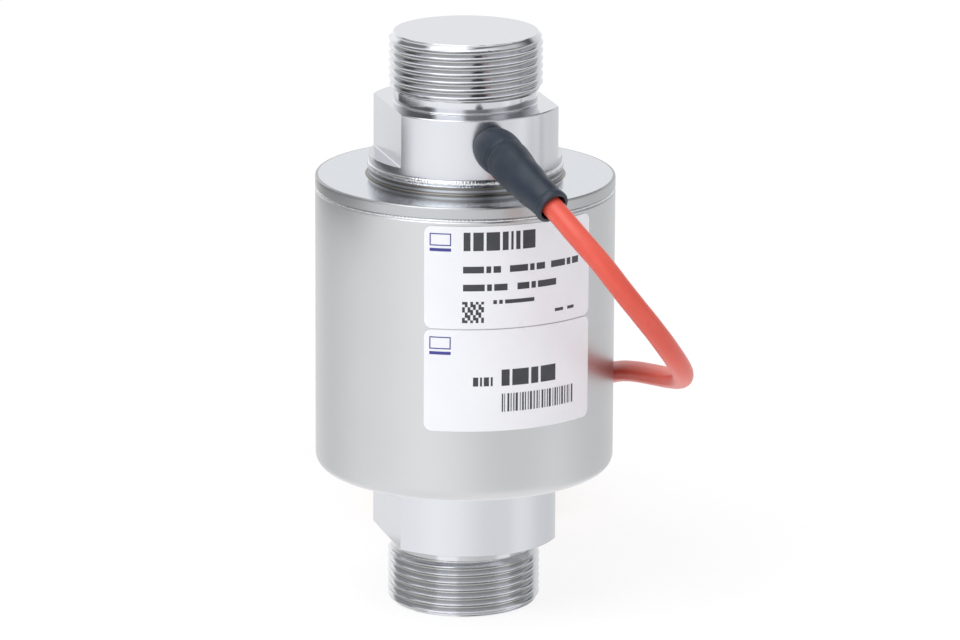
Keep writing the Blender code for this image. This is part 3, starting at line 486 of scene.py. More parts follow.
# The rings of a real tool are some hundredths of a millimetre apart. These are
# drawn a third of a millimetre wide, as coarse as they need to be to show.
turned = turned_steel("turned_stainless_steel", "#C6C8CD", 0.23, 0.35, 0.004)
satin = turned_steel("satin_ground_stainless_steel", "#C0C1C3", 0.36, 0.30, 0.006, patch=0.08)
polished = turned_steel("polished_stainless_steel", "#C3C7CD", 0.14, 0.40, 0.003, patch=0.05)
weld_metal = turned_steel("bright_weld_bead_steel", "#D6D8DB", 0.20, 0.30, 0.060, patch=0.10)
print("steel finishes: 4")

# %% [markdown]
# The threads were cut last, so the studs are brighter than the collars, and the
# thread's roots carry painted shade: a darker tint where they lie in shadow. The
# cover was polished on its flat face only: its ground rim is duller. Its lip is
# darker below the weld, a heat stain with painted shade under the bead, and at its
# foot, painted shade in the corner, with a clean turned band between the two.

# %% Zones of the studs
MIDDLE_HEIGHT = 0.0745
tree = turned.node_tree
_, distance, axes = axis_places(tree)
from_middle = add(tree, "Math", {0: axes["Z"], 1: -MIDDLE_HEIGHT}, operation="ADD").outputs[0]
from_middle = add(tree, "Math", {0: from_middle}, operation="ABSOLUTE").outputs[0]
roughen(turned, zone(tree, from_middle, 56.4, 56.6), -0.12)
on_thread = zone(tree, from_middle, 59.6, 59.9)
end_chamfer = zone(tree, from_middle, 72.4, 73.0)
crest = zone(tree, distance, 18.35, 19.30)
not_root = add(tree, "Math", {0: end_chamfer, 1: crest}, operation="MAXIMUM").outputs[0]
in_root = add(tree, "Math", {0: on_thread, 1: not_root}, operation="SUBTRACT", use_clamp=True)
root = in_root.outputs[0]
roughen(turned, root, 0.08)
# Painted shade: the thread's roots are tinted darker where they lie in shadow.
tint(turned, root, "#B8B9BA")
print("zones: studs and thread roots")

# %% Zones of the cover
tree = polished.node_tree
_, distance, axes = axis_places(tree)
rim = zone(tree, distance, 37.2, 37.5)
past_lip = zone(tree, distance, 25.2, 25.6)
lip = add(tree, "Math", {0: 1.0, 1: past_lip}, operation="SUBTRACT").outputs[0]
roughen(polished, rim, 0.22)
roughen(polished, lip, 0.18)
tint(polished, rim, "#B2B4B6")
# The lip is darker below the weld, a heat stain with painted shade under the bead, and at its foot,
# painted shade in the corner; a clean band lies between.
above_foot = zone(tree, axes["Z"], 112.6, 112.85)
near_weld = zone(tree, axes["Z"], 113.15, 113.4)
clean_band = add(tree, "Math", {0: above_foot, 1: near_weld}, operation="SUBTRACT").outputs[0]
heat_stain_and_painted_shade = add(tree, "Math", {0: lip, 1: clean_band}, operation="SUBTRACT", use_clamp=True)
tint(polished, heat_stain_and_painted_shade.outputs[0], "#858380")
print("zones: cover rim and cover lip")

# %% [markdown]
# ## Rubber, sheath, film and ink
# The boot is moulded rubber with a faint bloom. The cable has a soft red plastic
# sheath. The label is white film with an even semi-gloss face, and its print is
# a thin dark layer.

# %% Soft and plastic finishes
def moulded(name, base, shade, roughness, grain_mm, depth_mm, patch_mm, **more):
    """A colour that drifts to a second shade in patches, over a fine skin grain."""
    finish, tree, shader = new_finish(name, base, roughness, **more)
    place = add(tree, "TexCoord").outputs["Object"]
    broad = {"Vector": place, "Scale": per_mm(patch_mm), "Detail": 3.0}
    patches = add(tree, "TexNoise", broad).outputs["Fac"]
    colour = ramp(tree, patches, [(0.3, shade), (0.7, base)]).outputs["Color"]
    tree.links.new(colour, shader.inputs["Base Color"])
    fine = {"Vector": place, "Scale": per_mm(grain_mm), "Detail": 2.0}
    grain = add(tree, "TexNoise", fine).outputs["Fac"]
    bump = add(tree, "Bump", {"Height": grain, "Strength": 0.5, "Distance": depth_mm * MM})
    tree.links.new(bump.outputs["Normal"], shader.inputs["Normal"])
    spread = {0: patches, 1: 0.12, 2: roughness - 0.06}
    rough = add(tree, "Math", spread, operation="MULTIPLY_ADD")
    tree.links.new(rough.outputs[0], shader.inputs["Roughness"])
    return finish


rubber = moulded("moulded_grey_black_rubber", "#222E3E", "#1D2734", 0.48, 0.25, 0.02, 9.0)
sheath = moulded("red_polymer_cable_sheath", "#EA5F4D", "#E35645", 0.38, 0.45, 0.012, 12.0)
nylon = moulded("black_moulded_nylon", "#26282B", "#1E2022", 0.38, 0.4, 0.01, 5.0)
film = moulded("white_polyester_label_film", "#F9FAFD", "#F5F6FA", 0.30, 0.8, 0.004, 16.0)
dark_ink = moulded("dark_print_ink", "#3C3E45", "#33353B", 0.35, 0.3, 0.002, 3.0)
blue_ink = moulded("blue_print_ink", "#3F4194", "#383A88", 0.35, 0.3, 0.002, 3.0)
foil = moulded("constantan_gauge_foil", "#B98A52", "#A87A45", 0.35, 0.2, 0.004, 2.0, Metallic=0.6)
laminate = moulded("green_glass_epoxy_board", "#1F6B3A", "#1A5C31", 0.35, 0.3, 0.006, 4.0)
resistor_coat = moulded("black_epoxy_resistor_body", "#2A2B2D", "#232426", 0.40, 0.3, 0.01, 2.0)
wire_coat = moulded("grey_wire_insulation", "#8E9093", "#85878A", 0.45, 0.4, 0.006, 4.0)
core_coats = {
    "core_red": moulded("red_core_insulation", "#C22A22", "#B2241D", 0.40, 0.4, 0.006, 3.0),
    "core_black": moulded("black_core_insulation", "#222326", "#1C1D1F", 0.40, 0.4, 0.006, 3.0),
    "core_green": moulded("green_core_insulation", "#2B8A3E", "#257A36", 0.40, 0.4, 0.006, 3.0),
    "core_white": moulded("white_core_insulation", "#E8E8E4", "#DEDED9", 0.40, 0.4, 0.006, 3.0),
}
print("plastic and rubber finishes:", 10 + len(core_coats))

# %% [markdown]
# ## The cable
# One tube follows the whole path, and it stands for both cable solids of the
# frame.

# %% Cable
# Points that lie nearer than this, in metres, are merged where a grid closes.
WELD = 2e-6
cable_faces = grid_faces(len(cable_points), CABLE_COLUMNS, False, True)
cable = make_piece(
    "signal_cable",
    cable_points,
    cable_faces,
    sheath,
    ("cable", "cable_hank"),
    weld=WELD,
)

# %% [markdown]
# ## Turned surfaces
# A turned piece is an outline spun about the Z axis. Each corner of the outline
# may be rounded, because a real edge always is, and the small curve is what
# catches the light. Two extra points beside each curve keep the flats flat.

# %% Outline and spin helpers
def rounded(corners, steps, closed=False):
    """Corners (r, z, radius) become arcs that touch both of their straight sides."""
    count = len(corners)
    outline = []
    for k, (r, z, radius) in enumerate(corners):
        here = np.array([r, z], float)
        before = np.array(corners[k - 1][:2], float)
        after = np.array(corners[(k + 1) % count][:2], float)
        if radius <= 0 or (not closed and k in (0, count - 1)):
            outline.append(here)
            continue
        into = (before - here) / np.linalg.norm(before - here)
        out = (after - here) / np.linalg.norm(after - here)
        half = math.acos(np.clip(into @ out, -1, 1)) / 2
        reach = radius / math.tan(half)
        middle = (into + out) / np.linalg.norm(into + out)
        centre = here + middle * radius / math.sin(half)
        start = here + into * reach - centre
        end = here + out * reach - centre
        sweep = math.pi - 2 * half
        t = np.linspace(0, 1, steps + 1)[:, None]
        mix = np.sin((1 - t) * sweep) * start + np.sin(t * sweep) * end
        arc = centre + mix / math.sin(sweep)
        outline.extend([here + into * reach * 1.6, *arc, here + out * reach * 1.6])
    return np.array(outline)


def spin(outline, columns):
    """Place (r cos a, r sin a, z) for every outline point and every angle a."""
    a = full_turn(columns)
    r = outline[:, 0][:, None]
    z = np.repeat(outline[:, 1][:, None], columns, axis=1)
    return np.stack([r * np.cos(a), r * np.sin(a), z], axis=-1)


print("points of one rounded corner:", len(rounded([(0, 0, 0), (1, 0, 0.2), (1, 1, 0)], 4)) - 2)

# %% [markdown]
# ## The load element
# Studs, collars and column are one bar of stainless steel. The thread is a metric
# form of 2 mm pitch: a flat crest, two flanks at 30 degrees and a rounded root.
# Its rows follow the helix, so every edge of the thread stays crisp. Where the
# collar is milled flat, the radius is the lesser of the turned one and the flat's
# distance divided by the cosine of the angle.

# %% Sizes of the element
HEIGHT = 149.0
STUD = 17.8
THREAD_END = 14.8
STUD_CHAMFER = 1.3
PITCH_MM = 2.0
THREAD_RADIUS = 19.5
THREAD_DEPTH = 0.6134 * PITCH_MM
RELIEF_RADIUS = 18.2
COLLAR_RADIUS = 24.5
COLLAR_HEIGHT = 15.55
FLAT_DISTANCE = 20.5
FLAT_HEIGHT = 13.6
SPIGOT_RADIUS = 23.0
SPIGOT_HEIGHT = 11.65
COLUMN_HALF = 14.0
COLUMN_CORNER = 19.2
print("thread depth, mm:", round(THREAD_DEPTH, 3))

# %% Thread
FORM = np.array(
    [0.0, 0.03, 0.22, 0.25, 0.42, 0.60, 0.78, 0.93, 0.99, 1.10, 1.21, 1.27, 1.42, 1.60, 1.78, 1.95]
)


def thread_form(height):
    """Crest, flank, root and flank again, with each corner eased over a few hundredths."""
    flank = THREAD_DEPTH * math.tan(math.radians(30))
    crest = PITCH_MM / 8
    places = [0.0, crest, crest + flank, PITCH_MM - flank, PITCH_MM]
    root = THREAD_RADIUS - THREAD_DEPTH
    radii = [THREAD_RADIUS] * 2 + [root] * 2 + [THREAD_RADIUS]
    radius = 0.0
    for shift in (-0.05, 0.0, 0.05):
        radius = radius + np.interp((height + shift) % PITCH_MM, places, radii)
    return radius / 3


def blank_form(from_end):
    """Chamfer at the stud's end, full size along it, and the step down to the relief."""
    step = THREAD_RADIUS - RELIEF_RADIUS
    return np.interp(
        from_end,
        [0.0, STUD_CHAMFER, THREAD_END - step, THREAD_END],
        [THREAD_RADIUS - STUD_CHAMFER, THREAD_RADIUS, THREAD_RADIUS, RELIEF_RADIUS],
    )


def thread_rows(end, low, high, share):
    """Heights that climb one pitch a turn, kept between two limits, and the lesser radius there."""
    turns = math.ceil((high - low) / PITCH_MM) + 2
    base = (np.arange(turns)[:, None] - 1) * PITCH_MM + FORM[None, :]
    free = low + base.reshape(-1, 1) + share[None, :] * PITCH_MM
    height = np.clip(free, low, high)
    cut = thread_form(height - low - share[None, :] * PITCH_MM)
    return np.minimum(blank_form(np.abs(height - end)), cut), height


print("rows of one turn of thread:", len(FORM))


# %% Collar and spigot
def plain_rows(outline, share):
    """The same outline in every column."""
    return tuple(np.repeat(outline[:, k][:, None], len(share), axis=1) for k in (0, 1))


def shoulder():
    """Turned outline from the relief over the collar and the spigot to the column."""
    top = STUD + COLLAR_HEIGHT
    spigot = top + SPIGOT_HEIGHT
    corners = [
        (RELIEF_RADIUS, THREAD_END, 0),
        (RELIEF_RADIUS, STUD, 0.35),
        (COLLAR_RADIUS, STUD, 0.3),
        (COLLAR_RADIUS, top, 0.25),
        (SPIGOT_RADIUS, top, 0.2),
        (SPIGOT_RADIUS, spigot, 0.3),
        (COLUMN_CORNER, spigot, 0.3),
        (COLUMN_CORNER, HEIGHT / 2, 0),
    ]
    outline = rounded(corners, steps=4)
    below_ledge = np.array([0.45, 0.36, 0.26, 0.17, 0.09, 0.04, 0.001, -0.001])
    levels = STUD + FLAT_HEIGHT - below_ledge
    extra = np.stack([np.full(len(levels), COLLAR_RADIUS), levels], axis=1)
    return np.insert(outline, np.searchsorted(outline[:, 1], levels[0]), extra, axis=0)


print("rows from relief to column:", len(shoulder()))

# %% Rows and columns of the element
ELEMENT_COLUMNS = 256
edge = math.acos(FLAT_DISTANCE / COLLAR_RADIUS)
square_edge = math.acos(COLUMN_HALF / COLUMN_CORNER)
angles = np.linspace(0, 2 * math.pi, ELEMENT_COLUMNS + 1)
kept = [side + sign * edge for side in (0, math.pi, 2 * math.pi) for sign in (-1, 1)]
kept += [k * math.pi / 2 + sign * square_edge for k in range(5) for sign in (-1, 1)]
kept = [a for a in kept if 0 < a < 2 * math.pi]
angles = np.unique(np.round(np.concatenate([angles, kept]), 9))
share = angles / (2 * math.pi)
lower = shoulder()
upper = np.stack([lower[::-1, 0], HEIGHT - lower[::-1, 1]], axis=1)
end_face = np.array([[0.0, 0.0], [12.0, 0.0], [THREAD_RADIUS - 1.5, 0.0]])
parts = [
    plain_rows(end_face, share),
    thread_rows(0.0, 0.0, THREAD_END, share),
    plain_rows(lower, share),
    plain_rows(upper, share),
    thread_rows(HEIGHT, HEIGHT - THREAD_END, HEIGHT, share),
    plain_rows(end_face[::-1] + [0.0, HEIGHT], share),
]
radius, height = (np.vstack([part[k] for part in parts]) for k in (0, 1))
print("element grid:", radius.shape)


# %% Milled flats
LEDGE_FILLET = 0.45
EDGE_EASE = 0.08


def milled(radius, height, angles):
    """Wrench flats and column sides: no radius passes the flat's distance over the cosine."""
    from_stud = np.minimum(height, HEIGHT - height) - STUD
    ease = EDGE_EASE * np.clip(1 - from_stud / 0.25, 0, 1)
    foot = np.clip((from_stud - FLAT_HEIGHT) / LEDGE_FILLET + 1, 0, 1)
    fillet = LEDGE_FILLET * (1 - np.sqrt(1 - foot**2))
    reach = np.abs(np.cos(angles))[None, :]
    flat = (FLAT_DISTANCE - ease + fillet) / np.maximum(reach, 1e-6)
    on_flat = (from_stud > -0.01) & (from_stud < FLAT_HEIGHT)
    radius = np.where(on_flat, np.minimum(radius, flat), radius)
    square = COLUMN_HALF / np.maximum(reach, np.abs(np.sin(angles))[None, :])
    on_column = from_stud > COLLAR_HEIGHT + SPIGOT_HEIGHT + 0.4
    return np.where(on_column, np.minimum(radius, square), radius)


radius = milled(radius, height, angles)
element_points = np.stack([radius * np.cos(angles), radius * np.sin(angles), height], axis=-1) * MM
make_piece(
    "threaded_load_element",
    element_points,
    grid_faces(len(element_points), len(angles), False, False),
    turned,
    ("load_element",),
    weld=WELD,
    sharp=28.0,
)

# %% [markdown]
# ## The housing
# The cup is drawn from sheet and ground to a satin face. The cover plate is
# turned and polished, and its rim meets the cup at a small groove that a thin
# weld fills. Both have a short lip round the spigots for the ring welds.

# %% Cup and cover
BODY_RADIUS = 38.05
HOUSING_COLUMNS = 288
HOUSING_CORNER_STEPS = 8
CUP_CORNERS = [
    (23.3, 35.0, 0.1), (24.6, 35.0, 0.15), (24.6, 35.9, 0.3), (BODY_RADIUS, 35.9, 3.4),
    (BODY_RADIUS, 108.15, 0.08), (37.6, 108.6, 0.08), (36.05, 108.6, 0.1),
    (36.05, 38.4, 1.5), (23.3, 38.4, 0.1),
]
COVER_CORNERS = [
    (23.3, 108.9, 0.1), (33.75, 108.9, 0.1), (33.75, 106.9, 0.1), (35.75, 106.9, 0.1),
    (35.75, 108.9, 0.1), (37.6, 108.9, 0.08), (BODY_RADIUS, 109.35, 0.08),
    (BODY_RADIUS, 112.1, 0.45), (24.6, 112.1, 0.3), (24.6, 114.0, 0.15), (23.3, 114.0, 0.1),
]
for name, corners, finish, slot, node in (
    ("housing_cup_shell", CUP_CORNERS, satin, "satin_steel", "housing_cup"),
    ("housing_cover", COVER_CORNERS, polished, "polished_steel", "cover_plate"),
):
    outline = rounded(corners, HOUSING_CORNER_STEPS, closed=True)
    faces = grid_faces(len(outline), HOUSING_COLUMNS, True, True)
    make_piece(name, spin(outline * MM, HOUSING_COLUMNS), faces, finish, (node,))


# %% [markdown]
# A ring weld is laid in small overlapping pools, so its surface has even ripples
# that lean in the welder's direction.

# %% Welds
def weld_ring(name, inside, middle, low, high, bulge, ripples, node):
    """Half an ellipse round the ring, its bulge lifted by overlapping ripples of uneven length."""
    columns = ripples * 4
    a = full_turn(columns)[None, :]
    t = np.linspace(-math.pi / 2, math.pi / 2, 15)[:, None]
    phase = ripples * a + 2.2 * np.sin(7 * a) + 1.4 * np.sin(23 * a + 1.0) + 2.4 * np.cos(t)
    uneven = 0.5 + 0.25 * np.sin(47 * a + 3 * t) + 0.25 * np.sin(83 * a - 5 * t)
    wave = (0.5 + 0.5 * np.sin(phase)) * uneven
    out = middle + bulge * np.cos(t) * (0.84 + 0.16 * wave)
    z = (low + high) / 2 + (high - low) / 2 * np.sin(t) + 0.05 * np.cos(t) * np.sin(phase / 2)
    edge = np.full((1, columns), inside)
    out = np.vstack([edge, out, edge])
    z = np.vstack([z[:1], z, z[-1:]])
    points = np.stack([out * np.cos(a), out * np.sin(a), z], axis=-1) * MM
    faces = grid_faces(len(points), columns, True, True)
    return make_piece(name, points, faces, weld_metal, (node,))


weld_ring("upper_ring_weld", 23.35, 24.45, 113.92, 115.72, 0.42, 360, "upper_neck_weld")
weld_ring("lower_ring_weld", 23.35, 24.45, 33.28, 35.08, 0.42, 360, "lower_neck_weld")
weld_ring("rim_seam_weld", 37.0, 37.62, 108.42, 109.08, 0.34, 480, "rim_weld")

# %% [markdown]
# ## The boot
# The sleeve is moulded round the gland, so it has a round shoulder over the
# gland's end, a few creases where it bends, and a long taper with a thicker rim.
# It is a tube along the cable's own first stretch, and its first rings are
# shifted so that the end lies close against the collar's round wall.

# %% Outline of the boot
BOOT_START = 3.8
RIM_START = 34.5
BOOT_RINGS = 190
BOOT_COLUMNS = 72
outside = np.array(
    [
        (0.0, 4.70), (0.4, 5.05), (1.4, 5.40), (3.2, 5.64), (5.6, 5.74), (8.0, 5.66),
        (10.2, 5.46), (11.4, 5.34), (12.4, 5.40), (13.4, 5.52), (14.4, 5.52), (16.0, 5.42),
        (19.5, 5.18), (24.8, 4.88), (30.0, 4.52), (34.6, 4.28), (35.4, 4.25), (35.8, 4.40),
        (36.3, 4.50), (37.0, 4.48), (37.4, 4.32), (37.5, 4.05),
    ]
)
inside = np.array(
    [
        (37.5, 3.55), (37.3, 3.42), (36.8, 3.40), (30.0, 3.40), (20.0, 3.40), (9.0, 3.40),
        (8.3, 4.70), (0.0, 4.70),
    ]
)
corner_number = np.arange(len(outside))
fine = np.interp(np.linspace(0, len(outside) - 1, BOOT_RINGS), corner_number, outside[:, 0])
shape = np.interp(fine, outside[:, 0], outside[:, 1])
smooth = np.convolve(np.pad(shape, 3, mode="edge"), np.ones(7) / 7, mode="valid")
between_ends = (fine > 1.2) & (fine < RIM_START)
shape = np.where(between_ends, smooth, shape)
distance = np.concatenate([fine, inside[:, 0]])
sleeve = np.concatenate([shape, inside[:, 1]])
print("rings of the boot:", len(distance))

# %% Creases of the boot
turn_angle = full_turn(BOOT_COLUMNS)
from_wall = distance[:, None]
outer_part = (np.arange(len(distance)) < len(fine))[:, None]
first_crease = (from_wall - 11.3 - 0.7 * np.sin(turn_angle + 0.6)) / 0.8
second_crease = (from_wall - 15.6 - 0.9 * np.sin(turn_angle - 0.8)) / 1.2
crease = 3.0 * np.exp(-(first_crease**2)) + 0.5 * np.exp(-(second_crease**2))
facing = np.clip(0.25 + 0.85 * np.cos(turn_angle + 0.15), 0.0, 1.0)
wavy = 0.07 * np.sin(from_wall * 0.75 + 2 * np.sin(turn_angle))
wavy = wavy * np.clip((from_wall - 15) / 5, 0, 1) * np.clip((RIM_START - from_wall) / 3, 0, 1)
ring_radius = sleeve[:, None] + outer_part * (wavy - 0.22 * crease * facing)
print("widest and narrowest, mm:", ring_radius.max().round(2), ring_radius.min().round(2))

# %% Build the boot
boot_centres = cable_at((BOOT_START + distance) * MM)
ahead = cable_at((BOOT_START + distance + 0.2) * MM)
behind = cable_at((BOOT_START + distance - 0.2) * MM)
ring = circles(*square_to(unit(ahead - behind)), turn_angle)
boot_points = boot_centres[:, None, :] + ring_radius[..., None] * MM * ring
near_wall = np.clip(1 - distance / 1.5, 0, 1)[:, None]
off_middle = np.minimum(np.abs(boot_points[..., 0]), 0.008)
wall = np.sqrt(((COLLAR_RADIUS + 0.05) * MM) ** 2 - off_middle**2)
boot_points[..., 1] -= near_wall * (wall + boot_points[0, 0, 1])
make_piece(
    "bend_relief_boot",
    boot_points,
    grid_faces(len(boot_points), len(turn_angle), True, True),
    rubber,
    ("cable_boot",),
)

# %% [markdown]
# ## Labels
# Each label is a thin film wrapped a fifth of the way round the housing. Its
# corners are rounded, so each column of the grid stops where the corner's circle
# says. The print is another thin layer of plain bars and fields, made as small
# patches of the same kind, because a real ink layer has a thickness too.

# %% Label helper
LABEL_TOP = 107.5
LABEL_HEIGHT = 26.2
LABEL_START = math.radians(-31.2)
LABEL_END = math.radians(38.2)
LABEL_FACE = BODY_RADIUS + 0.25
LABEL_CORNER = 2.0
LABEL_SPLIT = 0.3
LOWER_TOP = LABEL_TOP - LABEL_HEIGHT - LABEL_SPLIT


def curved_patch(width, low, high, inner, outer, corner, steps):
    """A rectangle on a cylinder: columns cut short by the corner circles, then given two faces."""
    start, end = width
    span = (end - start) * outer
    ease = corner * (1 - np.cos(np.linspace(0, math.pi / 2, 7)))
    offset = np.unique(np.concatenate([np.linspace(0, span, steps), ease, span - ease]))
    from_edge = np.minimum(offset, span - offset)
    inset = corner - np.sqrt(np.maximum(corner**2 - np.maximum(corner - from_edge, 0) ** 2, 0))
    angle = start + offset / outer
    bottom = low + inset
    top = high - inset
    radii = np.array([inner, outer, outer, inner])
    z = np.stack([bottom, bottom, top, top], axis=1)
    points = np.stack([radii * np.sin(angle)[:, None], -radii * np.cos(angle)[:, None], z], axis=-1)
    first = len(angle) - 1
    faces = grid_faces(len(angle), 4, False, True)
    caps = np.array([[0, 1, 2, 3], [first * 4 + 3, first * 4 + 2, first * 4 + 1, first * 4]])
    return points.reshape(-1, 3) * MM, np.vstack([faces, caps])


print("width of a label, mm:", round((LABEL_END - LABEL_START) * LABEL_FACE, 1))

# %% Label films
LABEL_FOOT = BODY_RADIUS + 0.1
LABEL_COLUMNS = 96
for place, top in (("upper", LABEL_TOP), ("lower", LOWER_TOP)):
    reach = (LABEL_START, LABEL_END)
    points, faces = curved_patch(
        reach, top - LABEL_HEIGHT, top, LABEL_FOOT, LABEL_FACE, LABEL_CORNER, LABEL_COLUMNS
    )
    make_piece(f"{place}_label_film", points, faces, film, ("label_" + place,))

# %% [markdown]
# The places of the shapes are given on the flat film in millimetres, from its
# left edge and down from its top.

# %% Print helpers
INK_FOOT = LABEL_FACE + 0.01
INK_FACE = LABEL_FACE + 0.03


def print_layer(name, top, shapes, ink):
    """One mesh of many small patches, each (left, down, width, height) on the film."""
    all_points = []
    all_faces = []
    count = 0
    for left, down, width, tall in shapes:
        start = LABEL_START + left / LABEL_FACE
        reach = (start, start + width / LABEL_FACE)
        steps = max(3, int(width / 0.7))
        points, faces = curved_patch(
            reach, top - down - tall, top - down, INK_FOOT, INK_FACE, 0.01, steps
        )
        all_points.append(points)
        all_faces.append(faces + count)
        count += len(points)
    return make_piece(name, np.vstack(all_points), np.vstack(all_faces), ink)


def text_bars(left, down, tall, widths, gap):
    """A line of plain bars: each starts where the widths and gaps before it end."""
    starts = left + np.concatenate([[0.0], np.cumsum(np.array(widths[:-1]) + gap)])
    return [(start, down, width, tall) for start, width in zip(starts, widths)]


print("gap between the film and its print, mm:", round(INK_FOOT - LABEL_FACE, 3))

# %% Print of the upper label
MARK = [
    (1.4, 1.8, 5.4, 0.28), (1.4, 4.7, 5.4, 0.28), (1.4, 1.8, 0.28, 3.18),
    (6.52, 1.8, 0.28, 3.18), (1.4, 5.6, 5.4, 0.8),
]
CODE_CELL = 0.68
upper_dark = text_bars(9.9, 1.5, 4.7, [1.7, 2.6, 3.4, 1.5, 0.6, 1.1, 3.4], 0.7)
for left, down, tall, widths in (
    (9.8, 10.2, 1.7, [5.2, 1.2, 1.9]),
    (21.6, 10.2, 1.7, [4.8, 1.2, 2.4]),
    (33.0, 10.2, 1.7, [4.4, 1.2, 2.2]),
    (9.8, 14.8, 1.7, [5.4, 1.2, 3.4]),
    (23.6, 14.8, 1.7, [3.2, 1.2, 5.4]),
    (17.4, 18.9, 1.0, [0.9, 0.9, 7.8]),
):
    upper_dark += text_bars(left, down, tall, widths, 0.6)
upper_dark += text_bars(34.3, 22.6, 0.8, [2.6, 2.2], 1.4)
upper_dark += [
    (9.6 + CODE_CELL * i, 19.2 + CODE_CELL * j, CODE_CELL, CODE_CELL)
    for i in range(8)
    for j in range(8)
    if (3 * i + 5 * j) % 7 < 4
]
print_layer("upper_label_print", LABEL_TOP, upper_dark, dark_ink)
print_layer("upper_label_mark", LABEL_TOP, MARK, blue_ink)

# %% Print of the lower label
lower_dark = text_bars(12.4, 12.2, 2.3, [1.3, 0.5, 1.3, 0.5], 0.45)
lower_dark += text_bars(19.6, 10.4, 4.2, [2.1, 4.4, 2.0, 4.4], 0.7)
stripes = [0.35, 0.2, 0.5, 0.25, 0.3, 0.6, 0.2, 0.45, 0.3, 0.25, 0.55, 0.35] * 3
spaces = 0.2 + np.array([0.3, 0.1, 0.4, 0.15, 0.25, 0.1, 0.35, 0.2, 0.1, 0.3, 0.15, 0.25] * 3)
edges = 19.2 + np.cumsum(np.array(stripes) + spaces) - np.array(stripes)
lower_dark += [(left, 16.6, width, 4.7) for left, width in zip(edges, stripes) if left < 40.0]
print_layer("lower_label_print", LOWER_TOP, lower_dark, dark_ink)
print_layer("lower_label_mark", LOWER_TOP, MARK, blue_ink)

# %% [markdown]
# ## The tie
# A nylon tie holds the hank at its waist. Its band has a ladder of fine teeth on
# the outside, and the head is a rounded block with the band's end standing out
# of it.

# %% Band of the tie
TIE_HALF_WIDTH = 2.4
TIE_THICKNESS = 1.2


def tie_band(corners, thickness):
    """A closed loop of arcs and straights round the hank, carried out by the band's thickness."""
    loop = rounded(corners, steps=6, closed=True)
    closed = np.vstack([loop, loop[:1]])
    lengths = lengths_along(closed)
    along = np.linspace(0, lengths[-1], 480, endpoint=False)
    line = np.stack([np.interp(along, lengths, closed[:, k]) for k in (0, 1)], axis=1)
    tangent = unit(np.roll(line, -1, axis=0) - np.roll(line, 1, axis=0))
    outward = np.stack([tangent[:, 1], -tangent[:, 0]], axis=1)
    teeth = 0.10 * (np.sin(along * 2 * math.pi / 1.2) > 0)
    across = TIE_HALF_WIDTH * np.array([-1, -1, -0.96, -0.62, -0.58, 0.58, 0.62, 0.96, 1, 1])
    out = np.array([0.0, 0.9, 1.0, 1.0, 0.86, 0.86, 1.0, 1.0, 0.9, 0.0])
    ladder = np.array([0, 0, 0, 0, 1, 1, 0, 0, 0, 0])
    depth = out[None, :] * thickness + ladder[None, :] * teeth[:, None]
    uz = line[:, None, :] + depth[..., None] * outward[:, None, :]
    v = np.repeat(across[None, :], len(along), axis=0)
    return uz[..., 0], v, uz[..., 1]


TIE_CORNERS = [
    (11.5, 1.5, 1.2), (11.5, 29.1, 1.5), (6.05, 34.5, 1.5), (-6.05, 34.5, 1.5),
    (-11.5, 29.1, 1.5), (-11.5, 1.5, 1.2),
]
u, v, z = tie_band(TIE_CORNERS, TIE_THICKNESS)
tie = make_piece(
    "hank_tie_band",
    to_hank(u * MM, v * MM, z * MM),
    grid_faces(u.shape[0], u.shape[1], True, True),
    nylon,
    ("hank_tie",),
)


# %% Head of the tie
def soft_block(centre, half, power, rows=24, columns=48):
    """A block with rounded edges: each of cos and sin is raised to a power below one, sign kept."""
    tilt = np.linspace(-math.pi / 2, math.pi / 2, rows)[:, None]
    a = full_turn(columns)[None, :]

    def eased(value):
        return np.sign(value) * np.abs(value) ** power

    u = centre[0] + half[0] * eased(np.cos(tilt)) * eased(np.cos(a))
    v = centre[1] + half[1] * eased(np.cos(tilt)) * eased(np.sin(a))
    z = centre[2] + half[2] * eased(np.sin(tilt)) * np.ones_like(a)
    return to_hank(u * MM, v * MM, z * MM), grid_faces(rows, columns, False, True)


points, faces = soft_block((0.0, 0.0, 37.4), (3.5, 2.8, 2.1), 0.3)
tie_head = make_piece("hank_tie_head", points, faces, nylon, weld=WELD)
points, faces = soft_block((4.3, 0.0, 37.2), (1.6, 2.2, 0.6), 0.3)
tie_stub = make_piece("hank_tie_cut_end", points, faces, nylon, weld=WELD)

# %% [markdown]
# ## The cores
# The four cores leave the sheath side by side and spread a little. Each carries a
# crimped metal sleeve, as a cable made ready for a screw terminal has.

# %% Sizes of the cores
CORE_OFFSET = 0.95
CORE_RADIUS = 0.65
CORE_LENGTH = 9.3
CORE_COLUMNS = 16
CRIMP_RADIUS = 0.42
CRIMP_LENGTH = 5.0
CRIMP_OVERLAP = 0.6
CRIMP_COLUMNS = 14
tinned = moulded(
    "tinned_copper_crimp_sleeve", "#D5D6D4", "#BFC1BF", 0.30, 0.2, 0.003, 1.5, Metallic=1.0
)


def core_line(across, up):
    """The middle of a core: straight along the hank, and spreading with the square of the way."""
    reach = np.linspace(0.0, 1.0, 30)
    splay = 0.35 * reach**2
    u = FOLD_RADIUS + CABLE_DIAMETER + across * (CORE_OFFSET + splay) * MM
    v = near + TAIL_LENGTH + reach * CORE_LENGTH * MM
    z = layer_height(0) + up * (CORE_OFFSET + np.minimum(splay, 0.3)) * MM
    return to_hank(u, v, z)


print("length of a core with its sleeve, mm:", CORE_LENGTH + CRIMP_LENGTH)

